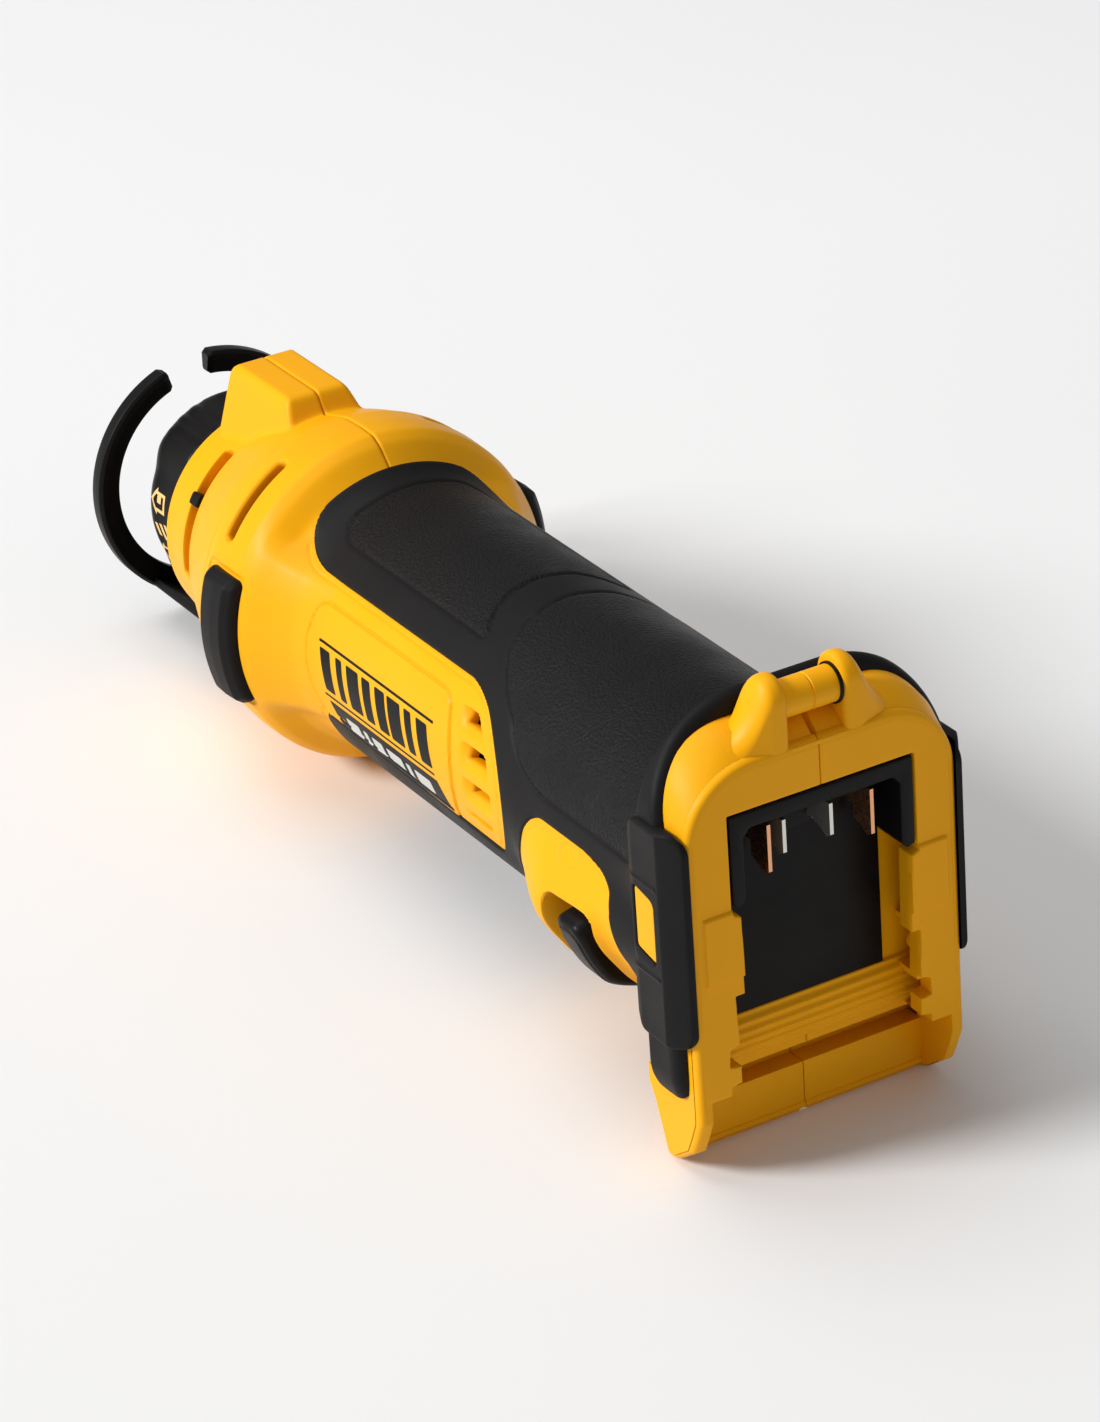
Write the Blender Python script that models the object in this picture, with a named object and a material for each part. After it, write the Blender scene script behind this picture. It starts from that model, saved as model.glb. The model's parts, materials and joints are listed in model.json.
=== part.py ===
"""Cordless drywall cut-out tool without its battery, as an assembly of separate pieces.

The tool is built in its own frame, in millimetres: +Y runs along the spindle towards the foot,
+Z is up and Y = 0 is the rear face that takes the battery. One empty then lays the tool down
as it rests on a bench, on the battery foot and the rim of the head. Angles round the spindle
are in degrees from +Z, positive towards +X.
"""
import math

import bmesh
import bpy
from mathutils import Matrix, Vector

MM = 0.001
GAP = 0.3

# Driving dimensions, in millimetres.
PLATE_HALF_WIDTH = 38.5
PLATE_TOP = 46.3
PLATE_CORNER = 20.0
FOOT_BOTTOM = -63.9
FOOT_BOTTOM_Y = 15.6
BAY_TOP = 33.4
BAY_DEPTH = 15.0
RAIL_LIP = 5.0
HANDLE_R = 36.5
SLEEVE_R = 37.5
SLEEVE_INNER_R = 35.2
SLEEVE_MIN_WALL = 1.3
SLEEVE_FRONT = 204.6
CAVITY_R = 32.0
DRUM_R = 47.7
DRUM_REAR = 216.0
DRUM_MIDDLE = 224.0
DRUM_FRONT = 232.0
HEAD_CAVITY_R = 43.0
NOSE_R = 34.0
NOSE_BORE_R = 31.0
NOSE_FRONT = 283.0
SLOT_REAR = 263.6
SLOT_FRONT = 269.6
SLOT_TOP_ANGLE = 31.0
SLOT_LOW_ANGLE = 96.0
COLLAR_FRONT = 309.0
RING_REAR = 316.0
RING_FRONT = 321.0
RING_OUTER_R = 36.9
RING_INNER_R = 30.0
RING_GAP_LEFT = -19.0
RING_GAP_RIGHT = 2.0
ARM_R_IN = 34.5
ARM_R_OUT = 37.0
ARM_HALF_ANGLE = 40.0
ARM_REAR = 242.0
BUMP_TOP = 49.5
BUMP_FRONT = 279.0
HANG_BAR_R = 4.7
HANG_BAR_Y = 6.5
HANG_BAR_Z = 56.0
EAR_INNER = 7.8
MOTOR_CAN_R = 25.5
MOTOR_REAR = 118.0
MOTOR_FRONT = 196.0
ARMATURE_R = 20.0
ARMATURE_SLOTS = 8
SHAFT_R = 4.0
FAN_R = 38.0
FAN_BLADES = 9
RING_ANGLES = (7, 21, 35, 49, 63, 77, 91, 105, 119, 133, 147, 161, 174)
SLEEVE_ANGLES = (8, 22, 36, 50, 58, 68, 78, 86, 94, 105, 116, 127, 137, 150, 162, 174)
DRUM_BOTTOM = -DRUM_R * math.cos(math.radians(180 - RING_ANGLES[-1]))
REST_TILT = -math.atan2(DRUM_BOTTOM - FOOT_BOTTOM, DRUM_MIDDLE - FOOT_BOTTOM_Y)


# ---------------------------------------------------------------- helpers

def polar(angle, radius, y):
    """Point at an angle round the spindle, a radius and a distance along it."""
    turn = math.radians(angle)
    return Vector((radius * math.sin(turn), y, radius * math.cos(turn)))


def smooth(value, low, high):
    """0 below low, 1 above high, eased in between."""
    t = min(1.0, max(0.0, (value - low) / (high - low)))
    return t * t * (3 - 2 * t)


def between(value, table):
    """Straight-line value from a table of (position, value) pairs."""
    if value <= table[0][0]:
        return table[0][1]
    for (a, va), (b, vb) in zip(table, table[1:]):
        if value <= b:
            return va + (vb - va) * (value - a) / (b - a)
    return table[-1][1]


def outline_radius(angle, half_width, top, bottom, corner_top, corner_bottom):
    """Distance from the spindle to a rounded rectangle, along one angle."""
    turn = math.radians(angle)
    sx, sz = abs(math.sin(turn)), math.cos(turn)
    low, high = 0.0, 120.0
    for _ in range(40):
        mid = (low + high) / 2
        x, z = mid * sx, mid * sz
        corner = corner_top if z > 0 else corner_bottom
        edge = top if z > 0 else -bottom
        dx = x - (half_width - corner)
        dz = abs(z) - (edge - corner)
        if dx > 0 and dz > 0:
            inside = math.hypot(dx, dz) < corner
        else:
            inside = x < half_width and abs(z) < edge
        low, high = (mid, high) if inside else (low, mid)
    return low


def around(angles):
    """A full turn of angles from the angles of one side, left side first."""
    return [-a for a in reversed(angles)] + list(angles)


def material(name, colour, roughness, metallic=0.0):
    mat = bpy.data.materials.new(name)
    mat.use_nodes = True
    shader = mat.node_tree.nodes["Principled BSDF"]
    shader.inputs["Base Color"].default_value = (*colour, 1.0)
    shader.inputs["Roughness"].default_value = roughness
    shader.inputs["Metallic"].default_value = metallic
    mat.diffuse_color = (*colour, 1.0)
    return mat


def solid(name, bm, mat=None, origin=(0, 0, 0), sharp=32):
    """Object from a bmesh in millimetres, in the tool's frame; without a material it is a cutter."""
    bmesh.ops.recalc_face_normals(bm, faces=bm.faces)
    if bm.calc_volume(signed=True) < 0:
        bmesh.ops.reverse_faces(bm, faces=bm.faces)
    mesh = bpy.data.meshes.new(name)
    bm.to_mesh(mesh)
    bm.free()
    mesh.transform(Matrix.Scale(MM, 4) @ Matrix.Translation(-Vector(origin)))
    mesh.shade_smooth()
    mesh.set_sharp_from_angle(angle=math.radians(sharp))
    ob = bpy.data.objects.new(name, mesh)
    bpy.context.scene.collection.objects.link(ob)
    ob.parent = tool
    ob.location = Vector(origin) * MM
    if mat:
        mesh.materials.append(mat)
    else:
        ob.hide_render = True
        ob.display_type = "WIRE"
    return ob


def combine(ob, other, operation):
    mod = ob.modifiers.new(other.name, "BOOLEAN")
    mod.operation = operation
    mod.object = other
    mod.solver = "EXACT"


def cut(ob, *others):
    for other in others:
        combine(ob, other, "DIFFERENCE")


def join(ob, *others):
    for other in others:
        combine(ob, other, "UNION")


def add_loft(bm, rings):
    """Skin through closed rings of equal count, capped at both ends."""
    loops = [[bm.verts.new(p) for p in ring] for ring in rings]
    count = len(loops[0])
    for a, b in zip(loops, loops[1:]):
        for i in range(count):
            k = (i + 1) % count
            bm.faces.new((a[i], a[k], b[k], b[i]))
    bm.faces.new(loops[0])
    bm.faces.new(loops[-1])
    return bm


def loft(rings):
    return add_loft(bmesh.new(), rings)


def add_prism(bm, outline, axis, low, high):
    """Outline extruded along an axis; its points are the two other coordinates in order."""
    place = {
        "X": lambda a, b, h: (h, a, b),
        "Y": lambda a, b, h: (a, h, b),
        "Z": lambda a, b, h: (a, b, h),
    }[axis]
    return add_loft(bm, [[place(a, b, h) for a, b in outline] for h in (low, high)])


def prism(outline, axis, low, high):
    return add_prism(bmesh.new(), outline, axis, low, high)


def add_box(bm, low, high):
    (x0, y0, z0), (x1, y1, z1) = low, high
    return add_prism(bm, [(x0, z0), (x1, z0), (x1, z1), (x0, z1)], "Y", y0, y1)


def box(low, high):
    return add_box(bmesh.new(), low, high)


def turned(profile, steps=24, closed=True):
    """(y, radius) profile turned round the spindle axis; open profiles start and end on it."""
    bm = bmesh.new()
    verts = [bm.verts.new((0, y, r)) for y, r in profile]
    pairs = list(zip(verts, verts[1:]))
    if closed:
        pairs.append((verts[-1], verts[0]))
    edges = [bm.edges.new(pair) for pair in pairs]
    bmesh.ops.spin(bm, geom=verts + edges, cent=(0, 0, 0), axis=(0, 1, 0), angle=2 * math.pi,
                   steps=steps, use_merge=True)
    bmesh.ops.remove_doubles(bm, verts=bm.verts, dist=1e-4)
    return bm


def ring_section(r_low, r_high, y_low, y_high):
    """Rectangle of (radius, y) points."""
    return [(r_low, y_low), (r_high, y_low), (r_high, y_high), (r_low, y_high)]


def add_swept(bm, section, angles):
    """(radius, y) section carried round the spindle through a list of angles."""
    return add_loft(bm, [[polar(a, r, y) for r, y in section] for a in angles])


def swept(section, angles):
    return add_swept(bmesh.new(), section, angles)


def tube(path, radius, sides):
    """Round wire along a path of points, flat at both ends."""
    points = [Vector(p) for p in path]
    rings = []
    for k, point in enumerate(points):
        along = (points[min(k + 1, len(points) - 1)] - points[max(k - 1, 0)]).normalized()
        side = Vector((1, 0, 0)) if abs(along.x) < 0.9 else Vector((0, 1, 0))
        across = along.cross(side).normalized()
        other = along.cross(across)
        rings.append([point + radius * (math.cos(t) * across + math.sin(t) * other)
                      for t in (2 * math.pi * s / sides for s in range(sides))])
    return loft(rings)


def spread(low, high, count):
    return [low + (high - low) * i / (count - 1) for i in range(count)]


def arc(centre, radius, start, end, count):
    return [(centre[0] + radius * math.cos(math.radians(a)),
             centre[1] + radius * math.sin(math.radians(a))) for a in spread(start, end, count)]


def shell_grid(outer, inner, keep):
    """Closed shell over the kept cells of a grid of points that wraps round in its first index."""
    bm = bmesh.new()
    columns, rows = len(outer), len(outer[0])
    made = {}

    def vert(side, i, j):
        key = (side, i % columns, j)
        if key not in made:
            made[key] = bm.verts.new((outer, inner)[side][i % columns][j])
        return made[key]

    def kept(i, j):
        return 0 <= j < rows - 1 and keep(i % columns, j)

    for i in range(columns):
        for j in range(rows - 1):
            if not kept(i, j):
                continue
            corners = [(i, j), (i + 1, j), (i + 1, j + 1), (i, j + 1)]
            for side in (0, 1):
                a, b, c, d = [vert(side, *corner) for corner in corners]
                bm.faces.new((a, b, c))
                bm.faces.new((a, c, d))
            neighbours = [(i, j - 1), (i + 1, j), (i, j + 1), (i - 1, j)]
            for k, cell in enumerate(neighbours):
                if not kept(*cell):
                    a, b = corners[k], corners[(k + 1) % 4]
                    bm.faces.new((vert(0, *b), vert(0, *a), vert(1, *a), vert(1, *b)))
    return bm


# ---------------------------------------------------------------- materials

def make_materials():
    return {
        "housing": material("housing_yellow", (0.95, 0.53, 0.01), 0.42),
        "rubber": material("grip_rubber", (0.016, 0.016, 0.017), 0.72),
        "black": material("black_nylon", (0.014, 0.014, 0.015), 0.45),
        "steel": material("steel", (0.56, 0.57, 0.58), 0.3, 1.0),
        "dark_steel": material("dark_steel", (0.2, 0.2, 0.21), 0.4, 1.0),
        "alloy": material("cast_alloy", (0.62, 0.63, 0.64), 0.45, 1.0),
        "copper": material("copper", (0.72, 0.33, 0.16), 0.35, 1.0),
        "silver": material("plated_brass", (0.7, 0.68, 0.62), 0.3, 1.0),
        "brass": material("brass", (0.75, 0.55, 0.22), 0.35, 1.0),
        "carbon": material("carbon", (0.05, 0.05, 0.05), 0.6),
        "magnet": material("ferrite", (0.08, 0.08, 0.09), 0.7),
        "board": material("circuit_board", (0.03, 0.17, 0.08), 0.5),
        "lens": material("clear_lens", (0.85, 0.9, 0.92), 0.1),
        "winding": material("enamel_wire", (0.55, 0.2, 0.07), 0.4, 0.6),
        "fan": material("fan_nylon", (0.07, 0.07, 0.08), 0.5),
    }


# ---------------------------------------------------------------- housing skin and sleeve grid

PLATE_STATIONS = (
    # y, half width, top, bottom
    (0.0, 38.5, PLATE_TOP, -48.0),
    (1.5, 38.6, 47.0, -53.0),
    (4.0, 38.7, 48.6, -57.1),
    (9.0, 38.7, 51.0, -61.3),
    (FOOT_BOTTOM_Y, 38.7, 51.0, FOOT_BOTTOM),
    (18.8, 38.6, 51.0, -62.2),
    (20.8, 38.2, 50.0, -55.0),
    (22.6, 37.4, 47.5, -48.0),
)
HANDLE_PROFILE = (
    # y, radius, extra radius of the switch guard underneath
    (34.0, HANDLE_R, 8.3),
    (65.5, HANDLE_R, 9.0),
    (73.2, HANDLE_R, 6.3),
    (81.0, HANDLE_R, 2.4),
    (88.0, HANDLE_R, 0.0),
    (194.0, HANDLE_R, 0.0),
    (205.3, 38.7, 0.0),
    (209.0, 41.2, 0.0),
    (213.0, 45.7, 0.0),
    (DRUM_REAR, 47.4, 0.0),
    (DRUM_MIDDLE, DRUM_R, 0.0),
    (DRUM_FRONT, 47.2, 0.0),
    (242.0, 44.6, 0.0),
    (254.0, 40.0, 0.0),
    (262.5, 36.4, 0.0),
    (271.0, NOSE_R, 0.0),
    (NOSE_FRONT, 32.3, 0.0),
)


def housing_skin():
    """Outer skin of both housing halves together, from the rear face to the nose."""
    rings = []
    angles = around(RING_ANGLES)
    for y, half_width, top, bottom in PLATE_STATIONS:
        rings.append([polar(a, outline_radius(a, half_width, top, bottom, PLATE_CORNER, 5.0), y)
                      for a in angles])
    for y, radius, guard in HANDLE_PROFILE:
        rings.append([polar(a, radius + guard * smooth(abs(a), 84, 112), y) for a in angles])
    return loft(rings)


SIDE_WINDOW_REAR = ((50, 117.0), (58, 107.5), (68, 104.5), (86, 101.5), (105, 99.0), (116, 98.5))
GUARD_REAR = ((78, 60.0), (86, 45.0), (94, 39.6), (105, 38.0), (174, 38.0))
GUARD_FRONT = ((78, 74.0), (86, 78.5), (94, 79.5), (116, 82.2), (137, 87.0), (174, 89.5))
ROW_GUARD_REAR, ROW_GUARD_FRONT, ROW_SIDE_REAR = 6, 8, 9
ROW_LEG_END = 3
FLANGE_HALF_WIDTH = 41.7
FLANGE_TOP = 57.5
FLANGE_FRONT = 19.5
HUG_START = 30.0
FLANGE_CLEARANCE = 3.0
LEG_ANGLE = 137


def sleeve_rows(angle, grow):
    """Distances along the spindle of the grid rows at one angle of the grip sleeve."""
    a = abs(angle)
    rear = 14.0 - 9.0 * smooth(a, 24, 72)
    guard_rear = between(a, GUARD_REAR) if a >= 78 else 52.0
    guard_front = between(a, GUARD_FRONT) if a >= 78 else 78.0
    side_rear = between(a, SIDE_WINDOW_REAR) if 50 <= a <= 116 else 108.0
    return (rear - grow, rear + 2.5, FLANGE_FRONT, 23.4, 28.0, 34.0, guard_rear + grow, 65.0,
            guard_front - grow, side_rear + grow, 130.0, 165.0, 195.0, SLEEVE_FRONT + grow)


def sleeve_radius(angle, y, row):
    """Outer radius of the grip sleeve, from the flange at the battery plate to the handle."""
    flange = outline_radius(angle, FLANGE_HALF_WIDTH, FLANGE_TOP, -49.0, 30.0, 14.0)
    flange -= 1.6 if row == 0 else 0.0
    t = min(1.0, max(0.0, (y - FLANGE_FRONT) / 22.0))
    return flange + (SLEEVE_R - flange) * (1 - (1 - t) ** 2.4)


def sleeve_bore(angle, y):
    """Inner radius of the grip sleeve: it clears the plate, then hugs the handle."""
    bottom = -60.0 + 13.4 * smooth(abs(angle), 138, 148)
    plate = outline_radius(angle, PLATE_HALF_WIDTH + 0.8, 51.7, bottom, PLATE_CORNER, 6.0)
    return plate + (SLEEVE_INNER_R - plate) * smooth(y, 22.5, 36.0)


def sleeve_wall(angle, y, row):
    """Outer and inner radius of the grip sleeve, never thinner than its least wall."""
    skin = sleeve_radius(angle, y, row)
    bore = sleeve_bore(angle, y)
    if y <= FLANGE_FRONT:
        return max(skin, bore + SLEEVE_MIN_WALL), bore
    return skin, min(bore, skin - SLEEVE_MIN_WALL)


def sleeve_shell(grow=0.0, thicken=0.0):
    """The rubber sleeve, or with grow its footprint, which is the recess in the housing."""
    shift = math.degrees(grow / SLEEVE_R)
    moved = {50: shift, 116: -shift, 78: shift, LEG_ANGLE: shift}
    angles = around([a + moved.get(a, 0.0) for a in SLEEVE_ANGLES])
    outer, inner = [], []
    for angle in angles:
        rows = sleeve_rows(round(angle), grow)
        walls = [sleeve_wall(angle, y, j) for j, y in enumerate(rows)]
        outer.append([polar(angle, skin + thicken, y) for y, (skin, _) in zip(rows, walls)])
        clearances = [grow if y > HUG_START else FLANGE_CLEARANCE * grow for y in rows]
        inner.append([polar(angle, bore - clear, y)
                      for y, (_, bore), clear in zip(rows, walls, clearances)])

    def keep(i, j):
        a = abs(angles[i])
        b = abs(angles[(i + 1) % len(angles)])
        low, high = min(a, b), max(a, b)
        across_bottom = a > 170 and b > 170
        if j < ROW_LEG_END and (high > LEG_ANGLE + 1 or across_bottom):
            return False
        if ROW_GUARD_REAR <= j < ROW_GUARD_FRONT and low > 77:
            return False
        return not (j >= ROW_SIDE_REAR and low > 49 and high < 117)

    return shell_grid(outer, inner, keep)


# ---------------------------------------------------------------- housing halves

RAIL_EDGE = (
    (26.4, BAY_TOP), (26.4, 7.3), (24.3, 6.3), (23.9, -15.2), (26.6, -15.3), (26.1, -28.6),
    (28.9, -29.5), (29.1, -34.1), (26.0, -34.5), (26.0, -39.2), (28.9, -39.8), (29.0, -42.0),
    (34.7, -42.0), (34.7, -75.0))


def mirrored(points):
    """Closed outline from the right half of a shape that is symmetric about X = 0."""
    return list(points) + [(-a, b) for a, b in reversed(points)]


def bay_cutters():
    mouth = solid("bay_mouth", prism(mirrored(RAIL_EDGE), "Y", -2.0, RAIL_LIP))
    deep_edge = [(26.4, BAY_TOP), (26.4, 8.0), (33.0, 8.0), (33.0, -75.0)]
    deep = solid("bay_deep", prism(mirrored(deep_edge), "Y", RAIL_LIP - 0.7, 12.5))
    block_zone = solid("bay_block_zone", box((-26.4, 12.0, -28.0), (26.4, 20.0, BAY_TOP)))
    floor_zone = solid("bay_floor_zone", box((-32.6, 12.0, -76.0), (32.6, BAY_DEPTH, -49.3)))
    latch = solid("latch_pocket", box((-26.0, 12.0, -50.0), (26.0, 21.0, -41.5)))
    return [mouth, deep, block_zone, floor_zone, latch]


CAVITY_PROFILE = (
    (18.0, 29.0), (24.0, 31.0), (30.0, CAVITY_R), (203.0, CAVITY_R), (204.0, 36.0),
    (209.0, 36.6), (209.2, 40.0), (212.2, 40.0), (214.5, HEAD_CAVITY_R), (231.5, HEAD_CAVITY_R),
    (236.0, 32.6), (262.0, NOSE_BORE_R), (290.0, NOSE_BORE_R))
SCREW_POSTS = ((30.0, 26.5), (92.0, 26.5), (90.0, -26.5))
POST_R = 4.6
MOTOR_RIB_Y = (121.0, 190.0)
RIB_ANGLES = (-135, -45, 45, 135)


def cavity_cutter():
    """Inside of the housing, less the screw posts and the ribs that hold the motor."""
    cavity = solid("cavity", loft([[polar(a, r, y) for a in around(RING_ANGLES)]
                                   for y, r in CAVITY_PROFILE]))
    posts = bmesh.new()
    for y, z in SCREW_POSTS:
        add_prism(posts, arc((y, z), POST_R, 0, 330, 12), "X", -34, 34)
    cut(cavity, solid("posts", posts))
    ribs = bmesh.new()
    for y in MOTOR_RIB_Y:
        for angle in RIB_ANGLES:
            section = ring_section(MOTOR_CAN_R + GAP, CAVITY_R + 2, y, y + 4)
            add_swept(ribs, section, (angle - 8, angle, angle + 8))
    cut(cavity, solid("motor_ribs", ribs))
    return cavity


def ear_operand(name, side):
    """Hump beside the hang bar, widest at its base."""
    rings = []
    for x, top, depth in ((EAR_INNER, 63.4, 6.4), (12.5, 62.4, 6.4), (15.5, 57.5, 6.2),
                          (19.0, 52.0, 5.8), (24.0, 46.5, 5.2)):
        outline = [(HANG_BAR_Y - depth + 0.5, 38.0)]
        outline += arc((HANG_BAR_Y + 0.5, top - depth), depth, 180, 0, 9)
        outline += [(HANG_BAR_Y + depth + 0.5, 38.0)]
        rings.append([(side * x, y, z) for y, z in outline])
    return solid(name, loft(rings))


def bump_operand():
    """Raised housing over the work light on top of the head."""
    rings = []
    for y, top, half in ((241.0, 40.0, 13.0), (247.0, BUMP_TOP - 0.6, 9.6), (249.0, BUMP_TOP, 9.6),
                         (277.0, BUMP_TOP, 9.6), (BUMP_FRONT, BUMP_TOP - 1.2, 8.8)):
        edge = [(half - 1.8, top), (half, top - 1.6), (half + 3.4, top - 8.0), (half + 5.6, 30.0)]
        rings.append([(x, y, z) for x, z in mirrored(edge)])
    return solid("bump", loft(rings))


def exhaust_cutters():
    bm = bmesh.new()
    for side in (-1, 1):
        add_swept(bm, ring_section(40, 52, 225, 229), [side * a for a in spread(28, 58, 5)])
    return solid("exhaust_slots", bm)


INTAKE_ANGLES = (60, 74, 88, 102)


def intake_cutters():
    bm = bmesh.new()
    for side in (-1, 1):
        for a in INTAKE_ANGLES:
            add_swept(bm, ring_section(29, 42, 108, 117), (side * (a - 2.6), side * (a + 2.6)))
    return solid("intake_slots", bm)


def lock_slot_cutters():
    bm = bmesh.new()
    for side in (-1, 1):
        angles = [side * a for a in spread(SLOT_TOP_ANGLE, SLOT_LOW_ANGLE, 7)]
        add_swept(bm, ring_section(28, 40, SLOT_REAR, SLOT_FRONT), angles)
    return solid("lock_slots", bm)


def arm_channel():
    """Channel in the underside of the head that the arm of the depth foot slides in."""
    reach = ARM_HALF_ANGLE + 0.8
    section = ring_section(ARM_R_IN - GAP, ARM_R_OUT + GAP, ARM_REAR - 4.5, NOSE_FRONT + 7)
    return solid("arm_channel", swept(section, spread(180 - reach, 180 + reach, 9)))


KNOB_TOP_ANGLE = 103
SWITCH_REAR = 43.5
SWITCH_FRONT = 55.5
SWITCH_TRAVEL = 6.0


def switch_recess():
    """Channel round the switch guard for the slide, and the slot in its floor for the stem."""
    reach = 180 - KNOB_TOP_ANGLE + 2
    section = ring_section(34.2, 52, SWITCH_REAR - 1, SWITCH_FRONT + SWITCH_TRAVEL + 0.6)
    channel = solid("switch_channel", swept(section, spread(180 - reach, 180 + reach, 13)))
    slot = solid("switch_slot", box((-4.6, 44.8, -40.0), (4.6, 62.0, -28.0)))
    return [channel, slot]


BUMPER_WINDOW = ((12.0, -3.6), (18.2, -3.6), (18.2, 11.0), (12.0, 12.2))


def window_boss():
    """Pads on both sides of the plate that show through the windows of the rear bumpers."""
    bm = bmesh.new()
    inset = [(12.4, -3.2), (17.8, -3.2), (17.8, 10.7), (12.4, 11.8)]
    add_prism(bm, inset, "X", -42.2, -36.0)
    add_prism(bm, inset, "X", 36.0, 42.2)
    return solid("window_bosses", bm)


# y, z, tip x, head seat x: every screw enters from the right half and lies along X.
SCREWS = (
    (10.2, 39.7, -16.0, 22.0),
    (18.6, -55.5, -14.0, 27.0),
    (30.0, 26.5, -12.0, 13.0),
    (92.0, 26.5, -12.0, 13.0),
    (90.0, -26.5, -12.0, 13.0),
    (252.0, 37.5, -10.0, 10.0),
    (240.5, -40.8, -7.0, 7.0),
)
SCREW_R = 1.7
SCREW_HEAD_R = 3.0
SCREW_HEAD_LENGTH = 2.6
SCREW_FACETS = tuple(range(20, 380, 45))


def screw_ring(x, y, z, radius):
    turns = [math.radians(a) for a in SCREW_FACETS]
    return [(x, y + radius * math.cos(t), z + radius * math.sin(t)) for t in turns]


def screw_cutters():
    """Clearance for each screw: thread hole to the left, head counterbore out to the right."""
    bm = bmesh.new()
    narrow = SCREW_R + GAP
    wide = SCREW_HEAD_R + GAP
    for y, z, tip, seat in SCREWS:
        stations = ((tip - GAP, narrow), (seat - GAP, narrow), (seat - GAP, wide), (60.0, wide))
        add_loft(bm, [screw_ring(x, y, z, r) for x, r in stations])
    return solid("screw_holes", bm)


LOCK_ANGLE = 150
LOCK_Y = 250.0
LOCK_SEAT_R = 41.2


def radial_turned(profile, angle, y, steps=16):
    """(distance from the spindle, radius) profile turned round a radial line."""
    bm = turned(profile, steps, closed=False)
    toward = polar(angle, 1, 0)
    turn = Vector((0, 1, 0)).rotation_difference(toward).to_matrix().to_4x4()
    bm.transform(Matrix.Translation((0, y, 0)) @ turn)
    return bm


def make_housings(mats):
    cutters = bay_cutters()
    cutters += [cavity_cutter(), solid("sleeve_recess", sleeve_shell(GAP, 12.0))]
    cutters += [exhaust_cutters(), intake_cutters(), lock_slot_cutters(), arm_channel()]
    cutters += switch_recess()
    cutters.append(solid("light_pocket", box((-6.6, 266.0, 37.0), (6.6, 281.0, 47.0))))
    cutters.append(solid("loop_pocket", box((-EAR_INNER, 2.0, 43.5), (EAR_INNER, 13.2, 70.0))))
    cutters.append(solid("loop_rim", box((-EAR_INNER, -1.0, 45.6), (EAR_INNER, 3.0, 70.0))))
    bar_hole = prism(arc((HANG_BAR_Y, HANG_BAR_Z), HANG_BAR_R + GAP, 0, 330, 12), "X", -12.3, 12.3)
    cutters.append(solid("hang_bar_hole", bar_hole))
    cutters.append(screw_cutters())
    lock_profile = [(34.9, 0), (34.9, 3.4), (LOCK_SEAT_R, 3.4), (LOCK_SEAT_R, 7.2), (60.0, 7.2),
                    (60.0, 0)]
    lock_hole = radial_turned(lock_profile, LOCK_ANGLE, LOCK_Y, 14)
    cutters.append(solid("lock_hole", lock_hole))
    additions = [ear_operand("ear_left", -1), ear_operand("ear_right", 1), bump_operand(), window_boss()]
    halves = []
    for name, side in (("left_housing", -1), ("right_housing", 1)):
        half = solid(name, housing_skin(), mats["housing"])
        join(half, *additions)
        cut(half, *cutters)
        inner, outer = sorted((-side * 80.0, side * GAP / 2))
        cut(half, solid(name + "_other_side", box((inner, -5.0, -90.0), (outer, 330.0, 90.0))))
        halves.append(half)
    return halves


# ---------------------------------------------------------------- outside pieces

def make_sleeve(mats):
    solid("grip_sleeve", sleeve_shell(), mats["rubber"])


def make_rear_bumpers(mats):
    """Rubber blocks on both sides of the plate: a foot beside it and a pad over the flange."""
    root = FLANGE_HALF_WIDTH + GAP
    foot = PLATE_HALF_WIDTH + 0.6
    step = 4.2
    stations = (
        # z, rear and front end along the spindle, outer face
        (-26.5, 2.5, 18.0, 42.3), (-23.5, 0.2, 21.0, 43.0),
        (28.0, 0.2, 21.0, 43.0), (32.0, 3.0, 17.5, 42.3))
    for name, side in (("rear_bumper_left", -1), ("rear_bumper_right", 1)):
        rings = []
        for z, low, high, proud in stations:
            section = [(foot, low), (root - 0.4, low), (proud, low + 5.5), (proud, high - 1.5),
                       (root, high), (root, step), (foot, step)]
            rings.append([(side * x, y, z) for x, y in section])
        bumper = solid(name, loft(rings), mats["rubber"])
        window = prism(BUMPER_WINDOW, "X", -50.0, 50.0)
        cut(bumper, solid(name + "_window", window))


def make_head_bumpers(mats):
    """Curved rubber blocks on both sides of the head's drum."""
    root = DRUM_R + 0.4
    stations = ((68, 49.6), (71, 51.0), (81, 51.2), (91, 51.2), (101, 51.2), (110, 51.0), (113, 49.6))
    for name, side in (("head_bumper_left", -1), ("head_bumper_right", 1)):
        rings = []
        for angle, proud in stations:
            section = [(root, 214.5), (49.3, 214.5), (proud, 217.5), (proud, 228.0), (49.0, 230.5),
                       (root, 230.5)]
            rings.append([polar(side * angle, r, y) for r, y in section])
        solid(name, loft(rings), mats["rubber"])


def make_hang_bar(mats):
    outline = arc((HANG_BAR_Y, HANG_BAR_Z), HANG_BAR_R, 0, 345, 24)
    solid("hang_bar", prism(outline, "X", -12.0, 12.0), mats["housing"])


BLADES = (
    ("terminal_blade_1", -14.6, 13.4, "copper"),
    ("terminal_blade_2", -10.3, 17.2, "silver"),
    ("terminal_blade_3", 3.0, 17.6, "silver"),
    ("terminal_blade_4", 14.6, 14.0, "copper"),
)
BLADE_THICK = 1.0


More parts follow.
